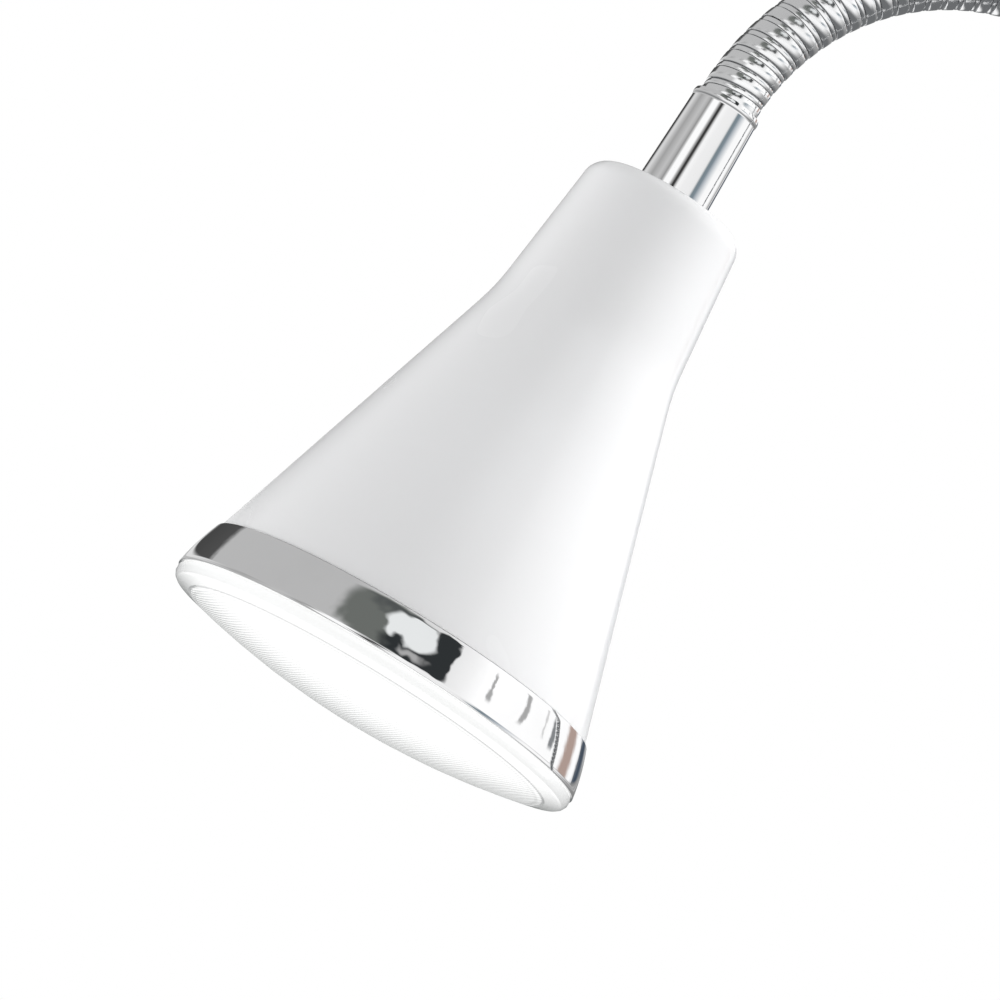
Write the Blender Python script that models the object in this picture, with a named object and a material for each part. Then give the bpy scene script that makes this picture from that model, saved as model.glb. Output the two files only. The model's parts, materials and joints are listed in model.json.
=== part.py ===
"""A clip-on reading lamp: a conical LED head on a flexible metal arm that grows out of a spring clip.

Metres, +Z up. The origin is the centre of the upper rubber pad's gripping face, which points down.
The arm, the head and the clip's mouth all lie in the XZ plane; the head and the mouth face -X.
"""

import math

import bmesh
import bpy
from mathutils import Matrix, Vector

MM = 0.001
GAP = 0.3 * MM

# Clip
CLIP_WIDTH = 38 * MM
WALL = 2.2 * MM
PAD_LENGTH = 40 * MM
PAD_WIDTH = 32 * MM
PAD_THICKNESS = 2.3 * MM
MOUTH = 16 * MM
PLATE_THICKNESS = 3.6 * MM
HOUSING_TOP = 30 * MM
PIVOT_X = 30 * MM
PIN_RADIUS = 2 * MM
EAR_RADIUS = 6 * MM
SWITCH_X = 34 * MM

# Flexible arm
STEM_X = 14 * MM
NECK_RADIUS = 5.05 * MM
BORE_RADIUS = 2.4 * MM
STEM_LENGTH = 165 * MM
ARCH_RADIUS = 45 * MM
ARCH_DEGREES = 147.4
STEM_JOINT_FIRST = 10 * MM
STEM_JOINT_STEP = 23 * MM
STEM_JOINTS = 7
ARCH_JOINT_LAST = 7 * MM
ARCH_JOINT_STEP = 14.5 * MM
ARCH_JOINTS = 8
BALL_RADIUS = 4.2 * MM
CUP_RADIUS = 4.75 * MM
CUP_EDGE = 1.15 * MM
SLEEVE_LENGTH = 17.9 * MM
SLEEVE_WIDE = 6.18 * MM
SLEEVE_NARROW = 5.67 * MM

# Head, measured along its axis from the shade's top (s) to the lens
SHADE_WALL = 1.2 * MM
SHADE_END = 81.6 * MM
CONE_SLOPE = math.tan(math.radians(17.0))
CONE_START = 30.4 * MM
CONE_START_RADIUS = 17.56 * MM
RING_START = 81.9 * MM
RING_END = 89.6 * MM
LENS_APEX = 96.2 * MM
DOME_RADIUS = 135 * MM
HEAD_STEPS = 36
SMALL_STEPS = 16


# ---------------------------------------------------------------- helpers


def clear_scene():
    for old in list(bpy.data.objects):
        bpy.data.objects.remove(old, do_unlink=True)


def material(name, colour, roughness, metallic=0.0, emission=0.0):
    """A plain Principled surface."""
    made = bpy.data.materials.new(name)
    made.use_nodes = True
    shader = made.node_tree.nodes["Principled BSDF"]
    shader.inputs["Base Color"].default_value = (*colour, 1.0)
    shader.inputs["Roughness"].default_value = roughness
    shader.inputs["Metallic"].default_value = metallic
    shader.inputs["Emission Color"].default_value = (*colour, 1.0)
    shader.inputs["Emission Strength"].default_value = emission
    return made


def node(name, mesh_maker, surface, place=None):
    """One named piece: its bmesh becomes a mesh object with one material."""
    mesh_maker.normal_update()
    bmesh.ops.recalc_face_normals(mesh_maker, faces=mesh_maker.faces[:])
    mesh = bpy.data.meshes.new(name)
    mesh_maker.to_mesh(mesh)
    mesh_maker.free()
    mesh.materials.append(surface)
    mesh.shade_smooth()
    mesh.set_sharp_from_angle(angle=math.radians(35))
    piece = bpy.data.objects.new(name, mesh)
    if place is not None:
        piece.matrix_world = place
    bpy.context.scene.collection.objects.link(piece)
    return piece


def turned(outline, steps):
    """A solid of revolution about Z.

    The outline is (radius, height) points: closed on itself, or from axis to axis.
    """
    shape = bmesh.new()
    points = [shape.verts.new((radius, 0, height)) for radius, height in outline]
    edges = [shape.edges.new(pair) for pair in zip(points, points[1:])]
    if outline[0][0] > 0:
        edges.append(shape.edges.new((points[-1], points[0])))
    bmesh.ops.spin(
        shape,
        geom=points + edges,
        cent=(0, 0, 0),
        axis=(0, 0, 1),
        angle=math.tau,
        steps=steps,
        use_merge=True,
    )
    bmesh.ops.remove_doubles(shape, verts=shape.verts[:], dist=1e-7)
    return shape


def block(low, high, bevel=0.0, segments=2):
    """A box between two corners, with every edge rounded when a bevel is given."""
    shape = bmesh.new()
    middle = [(a + b) / 2 for a, b in zip(low, high)]
    size = [b - a for a, b in zip(low, high)]
    bmesh.ops.create_cube(shape, size=1, matrix=Matrix.Translation(middle) @ Matrix.Diagonal((*size, 1)))
    if bevel:
        bmesh.ops.bevel(
            shape, geom=shape.edges[:], offset=bevel, segments=segments, profile=0.5, affect="EDGES"
        )
    return shape


def side_solid(outline, low_y, high_y, bevel=0.0, square_at=None):
    """A side outline of (x, z) points, extruded across Y.

    A bevel rounds its rims, but not those at height square_at.
    """
    shape = bmesh.new()
    side = shape.faces.new([shape.verts.new((x, low_y, z)) for x, z in outline])
    swept = bmesh.ops.extrude_face_region(shape, geom=[side])
    moved = [v for v in swept["geom"] if isinstance(v, bmesh.types.BMVert)]
    bmesh.ops.translate(shape, verts=moved, vec=(0, high_y - low_y, 0))
    bmesh.ops.recalc_face_normals(shape, faces=shape.faces[:])
    if bevel:
        rims = []
        for edge in shape.edges:
            start, end = (v.co for v in edge.verts)
            square = square_at is not None and max(abs(start.z - square_at), abs(end.z - square_at)) < 1e-6
            if abs(start.y - end.y) < 1e-9 and not square:
                rims.append(edge)
        bmesh.ops.bevel(shape, geom=rims, offset=bevel, segments=2, profile=0.5, affect="EDGES")
    return shape


def rounded(corners, arc_steps=3):
    """An outline from (x, z, corner radius) corners in millimetres, with each corner drawn as an arc."""
    outline = []
    for before, here, after in zip(corners[-1:] + corners[:-1], corners, corners[1:] + corners[:1]):
        corner = Vector(here[:2])
        back = (Vector(before[:2]) - corner).normalized()
        on = (Vector(after[:2]) - corner).normalized()
        if here[2] == 0:
            outline.append(tuple(corner * MM))
            continue
        half = back.angle(on) / 2
        reach = here[2] / math.tan(half)
        for k in range(arc_steps + 1):
            share = k / arc_steps
            start = corner + back * reach
            end = corner + on * reach
            mix = start.lerp(corner, share).lerp(corner.lerp(end, share), share)
            outline.append(tuple(mix * MM))
    return outline


def mm(points):
    """Points written in millimetres, as metres."""
    return [tuple(value * MM for value in point) for point in points]


def rod(start, end, radius, steps=SMALL_STEPS):
    """A plain round bar between two points."""
    shape = bmesh.new()
    along = Vector(end) - Vector(start)
    turn = along.to_track_quat("Z", "Y").to_matrix().to_4x4()
    place = Matrix.Translation((Vector(start) + Vector(end)) / 2) @ turn
    bmesh.ops.create_cone(
        shape, cap_ends=True, segments=steps, radius1=radius, radius2=radius, depth=along.length, matrix=place
    )
    return shape


def combine(piece, other, operation):
    """Joins a shape to a piece, or cuts it out of it, and keeps the result as the piece's mesh."""
    tool = node(piece.name + "_tool", other, piece.data.materials[0])
    change = piece.modifiers.new("combine", "BOOLEAN")
    change.operation = operation
    change.solver = "EXACT"
    change.object = tool
    graph = bpy.context.evaluated_depsgraph_get()
    result = bpy.data.meshes.new_from_object(piece.evaluated_get(graph))
    piece.modifiers.clear()
    piece.data = result
    bpy.data.objects.remove(tool, do_unlink=True)


def cut(piece, other):
    combine(piece, other, "DIFFERENCE")


def join(piece, other):
    combine(piece, other, "UNION")


# ---------------------------------------------------------------- flexible arm

SLEEVE_BASE = HOUSING_TOP + GAP
STEM_BASE = SLEEVE_BASE + SLEEVE_LENGTH
ARCH_CENTRE = Vector((STEM_X - ARCH_RADIUS, 0, STEM_BASE + STEM_LENGTH))
ARCH_LENGTH = ARCH_RADIUS * math.radians(ARCH_DEGREES)
NECK_LENGTH = STEM_LENGTH + ARCH_LENGTH


def neck_place(distance):
    """The frame on the arm's centre line at a distance from the base sleeve: Z runs along the arm."""
    if distance <= STEM_LENGTH:
        return Matrix.Translation((STEM_X, 0, STEM_BASE + distance))
    turn = (distance - STEM_LENGTH) / ARCH_RADIUS
    spot = ARCH_CENTRE + ARCH_RADIUS * Vector((math.cos(turn), 0, math.sin(turn)))
    return Matrix.Translation(spot) @ Matrix.Rotation(-turn, 4, "Y")


def joint_distances():
    stem = [STEM_JOINT_FIRST + STEM_JOINT_STEP * k for k in range(STEM_JOINTS)]
    last = NECK_LENGTH - ARCH_JOINT_LAST
    arch = [last - ARCH_JOINT_STEP * k for k in reversed(range(ARCH_JOINTS))]
    return stem + arch


def arc_rings(place, radius, heights):
    """Rings on a sphere about a joint's centre, at the given heights along the arm."""
    return [(place @ Matrix.Translation((0, 0, h)), math.sqrt(radius**2 - h**2)) for h in heights]


def ball_end(distance):
    """The convex end that starts a link: bore edge, ball, then the shoulder."""
    place = neck_place(distance)
    lowest = -math.sqrt(BALL_RADIUS**2 - BORE_RADIUS**2)
    rings = arc_rings(place, BALL_RADIUS, [lowest, -0.5 * BALL_RADIUS, CUP_EDGE])
    return rings + [(place @ Matrix.Translation((0, 0, CUP_EDGE)), NECK_RADIUS)]


def cup_end(distance):
    """The hollow end that closes a link: rim, then the cup down to the bore."""
    place = neck_place(distance)
    lowest = -math.sqrt(CUP_RADIUS**2 - BORE_RADIUS**2)
    rim = [(place @ Matrix.Translation((0, 0, -CUP_EDGE)), NECK_RADIUS)]
    return rim + arc_rings(place, CUP_RADIUS, [-CUP_EDGE, -0.55 * CUP_RADIUS, lowest])


def middle_rings(start, end):
    """Extra rings where a link follows the arch."""
    if end <= STEM_LENGTH:
        return []
    return [neck_place(start + (end - start) * share) for share in (0.35, 0.65)]


def ring_tube(rings, steps=12):
    """A closed tube wall from a loop of rings, each a frame and a radius."""
    shape = bmesh.new()
    loops = []
    for place, radius in rings:
        angles = [math.tau * k / steps for k in range(steps)]
        spots = [place @ Vector((radius * math.cos(a), radius * math.sin(a), 0)) for a in angles]
        loops.append([shape.verts.new(spot) for spot in spots])
    for here, after in zip(loops, loops[1:] + loops[:1]):
        for k in range(steps):
            after_k = (k + 1) % steps
            shape.faces.new((here[k], here[after_k], after[after_k], after[k]))
    return shape


def build_arm(chrome):
    """The flexible arm as a chain: each link's ball sits in the cup of the link before it."""
    joints = joint_distances()
    stub_depth = 11 * MM
    foot = neck_place(0) @ Matrix.Translation((0, 0, -stub_depth))
    base = [(foot, BORE_RADIUS), (foot, NECK_RADIUS)] + cup_end(joints[0])
    node("neck_base_stub", ring_tube(base), chrome)
    for number, (start, end) in enumerate(zip(joints, joints[1:]), 1):
        between = middle_rings(start, end)
        outside = [(place, NECK_RADIUS) for place in between]
        inside = [(place, BORE_RADIUS) for place in reversed(between)]
        rings = ball_end(start) + outside + cup_end(end) + inside
        node(f"neck_link_{number:02d}", ring_tube(rings), chrome)
    bend = neck_place(NECK_LENGTH)
    tip = bend @ Matrix.Translation((0, 0, stub_depth))
    outside = [(bend, NECK_RADIUS), (tip, NECK_RADIUS)]
    inside = [(tip, BORE_RADIUS), (bend, BORE_RADIUS)]
    rings = ball_end(joints[-1]) + outside + inside
    node("neck_head_stub", ring_tube(rings), chrome)


def sleeve_outline():
    """The chromed sleeve, widest where it meets the lamp, with a small bead at its neck end."""
    bore = NECK_RADIUS + GAP
    bead = 1.3 * MM
    return [
        (bore, 0),
        (SLEEVE_WIDE, 0),
        (SLEEVE_NARROW, SLEEVE_LENGTH - bead),
        (SLEEVE_NARROW + 0.25 * MM, SLEEVE_LENGTH - 0.7 * bead),
        (SLEEVE_NARROW, SLEEVE_LENGTH),
        (bore, SLEEVE_LENGTH),
    ]


def hex_nut(bore, corner, low, high):
    """A six-sided nut with a round bore of eighteen sides."""
    shape = bmesh.new()
    steps = 18
    loops = []
    rings = ((bore, low, False), (corner, low, True), (corner, high, True), (bore, high, False))
    for radius, height, hexagon in rings:
        loop = []
        for k in range(steps):
            angle = math.tau * k / steps
            within = angle % (math.pi / 3) - math.pi / 6
            reach = radius * math.cos(math.pi / 6) / math.cos(within) if hexagon else radius
            loop.append(shape.verts.new((reach * math.cos(angle), reach * math.sin(angle), height)))
        loops.append(loop)
    for here, after in zip(loops, loops[1:] + loops[:1]):
        for k in range(steps):
            after_k = (k + 1) % steps
            shape.faces.new((here[k], here[after_k], after[after_k], after[k]))
    return shape


def fixing(prefix, place, look, wall):
    """Sleeve, threaded nipple, washer and nut on one axis.

    Local +Z points out to the arm, and z = 0 is the outer skin.
    """
    sleeve_place = place @ Matrix.Translation((0, 0, GAP))
    node(prefix + "_sleeve", turned(sleeve_outline(), 24), look["chrome"], sleeve_place)
    foot = -wall - 8 * MM
    tip = 6.4 * MM
    nipple = [(2.6 * MM, foot), (4.75 * MM, foot), (4.75 * MM, tip), (2.6 * MM, tip)]
    node(prefix + "_nipple", turned(nipple, SMALL_STEPS), look["brass"], place)
    top = -wall - GAP
    washer = [(5.1 * MM, top - 1 * MM), (8.2 * MM, top - 1 * MM), (8.2 * MM, top), (5.1 * MM, top)]
    node(prefix + "_washer", turned(washer, SMALL_STEPS), look["steel"], place)
    nut_top = top - 1 * MM - GAP
    node(prefix + "_nut", hex_nut(5.1 * MM, 8.0 * MM, nut_top - 3 * MM, nut_top), look["brass"], place)


# ---------------------------------------------------------------- head


def head_frame():
    """The head's frame: its origin is the centre of the shade's top, and +Z points back along the arm."""
    end = neck_place(NECK_LENGTH) @ Matrix.Translation((0, 0, SLEEVE_LENGTH + GAP))
    return end @ Matrix.Rotation(math.pi, 4, "Y")


def along_head(points):
    """(distance from the shade's top, radius) pairs in millimetres, as a turned outline."""
    return [(radius * MM, -distance * MM) for distance, radius in points]


NECK_SLOPE = math.tan(math.radians(6.2))
BEND_START = 23.3 * MM
BEND_END = 29.3 * MM


def shade_radius(distance):
    """The shade's outer radius: a slim neck that turns smoothly into the cone."""
    cone = CONE_START_RADIUS + (distance - CONE_START) * CONE_SLOPE
    if distance >= BEND_END:
        return cone
    bend_middle = (BEND_START + BEND_END) / 2
    meet = CONE_START_RADIUS + (bend_middle - CONE_START) * CONE_SLOPE
    neck = meet + (distance - bend_middle) * NECK_SLOPE
    into_bend = max(0.0, distance - BEND_START)
    return neck + (CONE_SLOPE - NECK_SLOPE) * into_bend**2 / (2 * (BEND_END - BEND_START))


def shade_outline():
    shoulder = 3.5 * MM
    flat_radius = 10.6 * MM
    hole = 5.1 * MM
    top_wall = 1.6 * MM
    neck_radius = shade_radius(shoulder)
    outside = [(hole, 0), (flat_radius, 0)]
    for degrees in (30, 60):
        angle = math.radians(degrees)
        across = flat_radius + (neck_radius - flat_radius) * math.sin(angle)
        outside.append((across, -shoulder * (1 - math.cos(angle))))
    stations = [shoulder, BEND_START, (BEND_START + BEND_END) / 2, BEND_END, SHADE_END]
    outside += [(shade_radius(s), -s) for s in stations]
    inside = [(shade_radius(s) - SHADE_WALL, -s) for s in reversed(stations[1:])]
    under_top = 4.5 * MM
    inside += [(shade_radius(under_top) - SHADE_WALL, -under_top)]
    inside += [(11.2 * MM, -2 * MM), (10.2 * MM, -top_wall)]
    return outside + inside + [(hole, -top_wall)]


def dome(radius, apex):
    """The distance along the head of a spherical dome's surface at a radius from the axis."""
    return apex - (DOME_RADIUS - math.sqrt(DOME_RADIUS**2 - radius**2))


def lens_outline():
    thickness = 2.2 * MM
    inner_radius = 31.2 * MM
    spigot = [(86.2, 31.2), (86.2, 33.1), (89.9, 33.1), (89.9, 35.4), (90.4, 35.7), (91.3, 35.4)]
    inside = [inner_radius * k / 4 for k in range(4)]
    outside = [34.6 * MM * k / 5 for k in reversed(range(6))]
    outline = [(r, -dome(r, LENS_APEX - thickness)) for r in inside]
    outline += along_head(spigot)
    return outline + [(r, -dome(r, LENS_APEX)) for r in outside]


def reflector_outline():
    start = 46.8
    length = 39.0
    throat = 10.2
    flare = 19.0
    wall = 1.0
    stations = [0, 0.08, 0.25, 0.5, 0.75, 0.95]
    inner = [(start + length * t, throat + flare * t**0.8) for t in stations]
    outer = [(s, r + wall) for s, r in reversed(inner)]
    flange = [(start + length, throat + flare), (start + length, 33.2), (84.9, 33.2), (84.9, 30.0)]
    return along_head(inner + flange + outer)


def build_head(look):
    place = head_frame()
    node("shade", turned(shade_outline(), HEAD_STEPS), look["lacquer"], place)
    ring = [
        (RING_START / MM, 33.65),
        (RING_END / MM - 0.2, 35.95),
        (RING_END / MM, 35.8),
        (RING_END / MM, 33.5),
        (84.6, 33.5),
        (84.6, 30.6),
        (77.5, 28.9),
        (77.5, 30.2),
        (RING_START / MM, 31.5),
    ]
    node("trim_ring", turned(along_head(ring), HEAD_STEPS), look["chrome"], place)
    node("lens", turned(lens_outline(), HEAD_STEPS), look["lens"], place)
    node("reflector", turned(reflector_outline(), 24), look["reflector"], place)
    fixing("head", place, look, 1.6 * MM)
    build_light_source(place, look)


def build_light_source(place, look):
    """The light source: a finned plate, the board screwed to it, and the emitter on the board."""
    screw_radius = 7.3 * MM
    sink_outline = along_head([(31, 2.2), (31, 5.8), (44, 5.8), (44, 20.1), (46.5, 20.8), (46.5, 2.2)])
    sink = node("heat_sink", turned(sink_outline, 24), look["aluminium"])
    for k in range(8):
        fin = block(mm([(5.0, -0.6, -44.5)])[0], mm([(15.4, 0.6, -31)])[0])
        fin.transform(Matrix.Rotation(math.tau * k / 8, 4, "Z"))
        join(sink, fin)
    board_outline = along_head([(46.8, 1.6), (46.8, 9.6), (48.4, 9.6), (48.4, 1.6)])
    board = node("led_board", turned(board_outline, 18), look["board"])
    for number, angle in enumerate((math.pi / 8, math.pi * 9 / 8), 1):
        spot = Vector((screw_radius * math.cos(angle), screw_radius * math.sin(angle), 0))
        hole_top = spot + Vector((0, 0, -43 * MM))
        hole_end = spot + Vector((0, 0, -50 * MM))
        cut(sink, rod(hole_top, hole_end, 1.3 * MM, 10))
        cut(board, rod(hole_top, hole_end, 1.3 * MM, 10))
        shank = [(0, -42.5), (0.95, -42.5), (0.95, -48.7)]
        screw = shank + [(1.9, -48.7), (1.9, -49.6), (1.3, -50.1), (0, -50.1)]
        screw_place = place @ Matrix.Translation(spot)
        node(f"board_screw_{number}", turned(mm(screw), 12), look["steel"], screw_place)
    sink.matrix_world = place
    board.matrix_world = place
    emitter = along_head([(48.7, 0), (48.7, 4.4), (49.6, 4.4), (50.0, 3.8), (50.0, 0)])
    node("led_emitter", turned(emitter, 20), look["phosphor"], place)


# ---------------------------------------------------------------- clip

HALF_WIDTH = CLIP_WIDTH / 2
INNER_HALF = HALF_WIDTH - WALL
PIVOT = Vector((PIVOT_X, 0, -MOUTH / 2))
HOUSING_SCREWS = [(8, 12), (8, -12), (56, 12), (56, -12)]
BOARD_SCREWS = [(17.5, 10), (47, -10)]
GLAND_HEIGHT = 10.5


def build_housing(look):
    """The upper shell: jaw nose, electronics housing and squeeze lever in one moulding, open underneath."""
    skin = rounded([(-24, 3, 0), (-24, 9, 4), (2, 30, 10), (46, 30, 12), (72, 17, 3.5), (72, 3, 0)])
    front = [(-21.8, 2, 0), (-21.8, 8, 3), (2.8, 27.8, 8)]
    rear = [(45.4, 27.8, 10), (69.8, 15.6, 2), (69.8, 2, 0)]
    core = rounded(front + rear)
    solid = side_solid(skin, -HALF_WIDTH, HALF_WIDTH, 2.4 * MM, 3 * MM)
    shell = node("clip_housing", solid, look["plastic"])
    cut(shell, side_solid(core, -INNER_HALF, INNER_HALF))
    for x, y in HOUSING_SCREWS:
        top = 28.8 if x < 30 else 22.8
        join(shell, rod(*mm([(x, y, 6.9), (x, y, top)]), 3 * MM, 12))
        cut(shell, rod(*mm([(x, y, 5), (x, y, 17)]), 1.35 * MM, 10))
    stem = STEM_X / MM
    cut(shell, rod(*mm([(stem, 0, 25), (stem, 0, 32)]), 5.1 * MM, 20))
    switch = SWITCH_X / MM
    cut(shell, block(*mm([(switch - 8, -5.5, 25), (switch + 8, 5.5, 32)])))
    cut(shell, rod(*mm([(68, 0, GLAND_HEIGHT), (74, 0, GLAND_HEIGHT)]), 3 * MM))


def build_upper_jaw(look):
    """The plate that closes the housing: it carries the pad, the pivot ears and the board's standoffs."""
    plate = node("upper_jaw", block(*mm([(-21.5, -16.5, 2.6), (69.5, 16.5, 6.6)])), look["plastic"])
    ear = rounded([(24, 4, 0), (24, -14, 5.9), (36, -14, 5.9), (36, 4, 0)], 5)
    for side in (-1, 1):
        low, high = sorted((side * 12.5 * MM, side * 16 * MM))
        join(plate, side_solid(ear, low, high))
    pin = PIVOT_X / MM
    cut(plate, rod(*mm([(pin, -20, -MOUTH / 2 / MM), (pin, 20, -MOUTH / 2 / MM)]), 2.3 * MM))
    for x, y in HOUSING_SCREWS:
        cut(plate, rod(*mm([(x, y, 2), (x, y, 4.6)]), 3 * MM, 14))
        cut(plate, rod(*mm([(x, y, 4), (x, y, 7)]), 1.5 * MM, 10))
    for x, y in BOARD_SCREWS:
        join(plate, rod(*mm([(x, y, 6), (x, y, 8.9)]), 2.6 * MM, 12))
        cut(plate, rod(*mm([(x, y, 4.5), (x, y, 10)]), 1.2 * MM, 10))


def build_lower_jaw(look):
    """The hinged jaw and its lever: a solid nose under the pad, and an open, ribbed channel behind."""
    nose = [(-24, -18.6, 0), (-24, -23.5, 3), (0, -29, 10), (40, -30, 15)]
    lever = [(72, -37, 4), (72, -24, 3), (40, -18.6, 8)]
    solid = side_solid(rounded(nose + lever), -HALF_WIDTH, HALF_WIDTH, 2.0 * MM, -18.6 * MM)
    jaw = node("lower_jaw", solid, look["plastic"])
    front = [(23.8, -17), (23.8, -26.6), (38, -27.2), (44, -28.4), (44, -17)]
    cut(jaw, side_solid(mm(front), -INNER_HALF, INNER_HALF))
    rear = [(46.2, -17), (46.2, -28.9), (69.6, -34), (69.6, -17)]
    for side in (-1, 1):
        low, high = sorted((side * 1.1 * MM, side * INNER_HALF))
        cut(jaw, side_solid(mm(rear), low, high))
    ear = rounded([(24.3, -28, 0), (24.3, -2.1, 5.6), (35.7, -2.1, 5.6), (35.7, -28, 0)], 5)
    for side in (-1, 1):
        low, high = sorted((side * 8.5 * MM, side * 12.2 * MM))
        join(jaw, side_solid(ear, low, high))
    pin = PIVOT_X / MM
    cut(jaw, rod(*mm([(pin, -14, -MOUTH / 2 / MM), (pin, 14, -MOUTH / 2 / MM)]), 2.3 * MM))


def build_pads(look):
    low = Vector((-PAD_LENGTH / 2, -PAD_WIDTH / 2, 0))
    high = Vector((PAD_LENGTH / 2, PAD_WIDTH / 2, PAD_THICKNESS))
    node("upper_pad", block(low, high), look["rubber"])
    drop = Vector((0, 0, -MOUTH - PAD_THICKNESS))
    node("lower_pad", block(low + drop, high + drop), look["rubber"])


def build_pivot(look):
    """The pin through all four ears, the ring that keeps it in, and the spring wound round it."""
    across = Matrix.Translation(PIVOT) @ Matrix.Rotation(-math.pi / 2, 4, "X")
    pin = [(0, -17.8), (2, -17.8), (2, 16.3), (3.4, 16.3), (3.4, 17.2), (2.9, 17.6), (0, 17.6)]
    node("pivot_pin", turned(mm(pin), SMALL_STEPS), look["steel"], across)
    ring = [(2.3, -17.2), (4, -17.2), (4, -16.3), (2.3, -16.3)]
    node("pin_clip", turned(mm(ring), SMALL_STEPS), look["steel"], across)
    build_spring(look)


def build_spring(look):
    """A torsion spring: one leg bears under the housing's plate, the other on the lower lever's floor."""
    coil_radius = 4.6 * MM
    coil_half = 6.5 * MM
    upper_tip = Vector((43, 1.5)) * MM
    lower_tip = Vector((42, -26.4)) * MM
    turns = 5
    hub = Vector((PIVOT.x, PIVOT.z))
    first = math.atan2(*(upper_tip - hub).yx) + math.acos(coil_radius / (upper_tip - hub).length)
    last = math.atan2(*(lower_tip - hub).yx) - math.acos(coil_radius / (lower_tip - hub).length)
    last += math.tau * (turns + 1)
    count = 10 * turns
    points = [(upper_tip.x, -coil_half, upper_tip.y)]
    for k in range(count + 1):
        angle = first + (last - first) * k / count
        spot = hub + coil_radius * Vector((math.cos(angle), math.sin(angle)))
        points.append((spot.x, coil_half * (2 * k / count - 1), spot.y))
    points.append((lower_tip.x, coil_half, lower_tip.y))
    wire = bpy.data.curves.new("torsion_spring", "CURVE")
    wire.dimensions = "3D"
    wire.bevel_depth = 0.7 * MM
    wire.bevel_resolution = 1
    wire.use_fill_caps = True
    line = wire.splines.new("POLY")
    line.points.add(len(points) - 1)
    for spline_point, spot in zip(line.points, points):
        spline_point.co = (*spot, 1)
    wire.materials.append(look["steel"])
    spring = bpy.data.objects.new("torsion_spring", wire)
    bpy.context.scene.collection.objects.link(spring)


def build_switch(look):
    """A rocker switch in the housing's top. The rocker turns about Y and rests tilted to its on side."""
    x = SWITCH_X / MM
    hinge_height = 29.5
    flange = block(*mm([(x - 9, -6.5, 30.3), (x + 9, 6.5, 31.5)]), 0.5 * MM, 1)
    body = node("switch_body", flange, look["black"])
    join(body, block(*mm([(x - 7.7, -5.2, 17.5), (x + 7.7, 5.2, 30.6)])))
    cut(body, block(*mm([(x - 6.2, -3.9, 23), (x + 6.2, 3.9, 33)])))
    for offset in (-4, 4):
        join(body, block(*mm([(x + offset - 0.4, -2, 14.5), (x + offset + 0.4, 2, 18)])))
    half = 5.5
    key = [(-half, 2.6), (0, 1.5), (half, 2.6)]
    turns = (0, 0.6, 1.2, math.pi - 1.2, math.pi - 0.6, math.pi)
    key += [(half * math.cos(turn), -half * math.sin(turn)) for turn in turns]
    tilt = Matrix.Translation(mm([(x, 0, hinge_height)])[0]) @ Matrix.Rotation(math.radians(-8), 4, "Y")
    node("rocker", side_solid(mm(key), -3.6 * MM, 3.6 * MM, 0.3 * MM), look["plastic"], tilt)


def build_fasteners(look):
    """Screws that hold the housing on its plate, and the board on its standoffs."""
    long_screw = [(0, 2.9), (1.7, 2.9), (2.6, 3.3), (2.6, 4.3), (1.0, 4.3), (1.0, 15.5), (0, 16.2)]
    for number, (x, y) in enumerate(HOUSING_SCREWS, 1):
        place = Matrix.Translation(mm([(x, y, 0)])[0])
        node(f"housing_screw_{number}", turned(mm(long_screw), 12), look["steel"], place)
    short_screw = [(0, 12.2), (1.2, 12.2), (2.0, 11.8), (2.0, 11.1), (0.9, 11.1), (0.9, 5.4), (0, 5.0)]
    for number, (x, y) in enumerate(BOARD_SCREWS, 1):
        place = Matrix.Translation(mm([(x, y, 0)])[0])
        node(f"driver_screw_{number}", turned(mm(short_screw), 12), look["steel"], place)


def build_driver(look):
    """The mains driver: a board with its transformer, capacitor, inductor and terminal block."""
    board = node("driver_board", block(*mm([(14, -13.5, 9.2), (51, 13.5, 10.8)])), look["board"])
    for x, y in BOARD_SCREWS:
        cut(board, rod(*mm([(x, y, 8), (x, y, 12)]), 1.2 * MM, 10))
    transformer = node("transformer", block(*mm([(22, 6, 11.1), (34, 13, 13.1)])), look["black"])
    join(transformer, block(*mm([(24, 6.6, 12), (32, 12.4, 20)]), 0.6 * MM, 1))
    can = mm([(0, 11.1), (4, 11.1), (4, 21.6), (3.4, 22.2), (0, 22.2)])
    node("capacitor", turned(can, 16), look["black"], Matrix.Translation(mm([(46, 5, 0)])[0]))
    coil = mm([(0, 11.1), (3.6, 11.1), (3.6, 12.2), (2.8, 12.2), (2.8, 16), (3.6, 16), (3.6, 17), (0, 17)])
    node("inductor", turned(coil, 16), look["copper"], Matrix.Translation(mm([(22, -8.5, 0)])[0]))
    body = block(*mm([(30, -13, 11.1), (40, -6.5, 19)]), 0.4 * MM, 1)
    terminals = node("terminal_block", body, look["board"])
    for x in (32.6, 37.4):
        cut(terminals, rod(*mm([(x, -9.7, 15), (x, -9.7, 21)]), 1.6 * MM, 10))


def build_gland(look):
    """The rubber bush in the rear wall, where the mains lead enters."""
    outline = [(1.9, -4.2), (3.6, -4.2), (3.6, -2.5), (2.7, -2.5)]
    outline += [(2.7, 0.3), (3.9, 0.3), (3.5, 1.8), (1.9, 1.8)]
    place = Matrix.Translation(mm([(72, 0, GLAND_HEIGHT)])[0]) @ Matrix.Rotation(math.pi / 2, 4, "Y")
    node("cord_gland", turned(mm(outline), SMALL_STEPS), look["rubber"], place)


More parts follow.
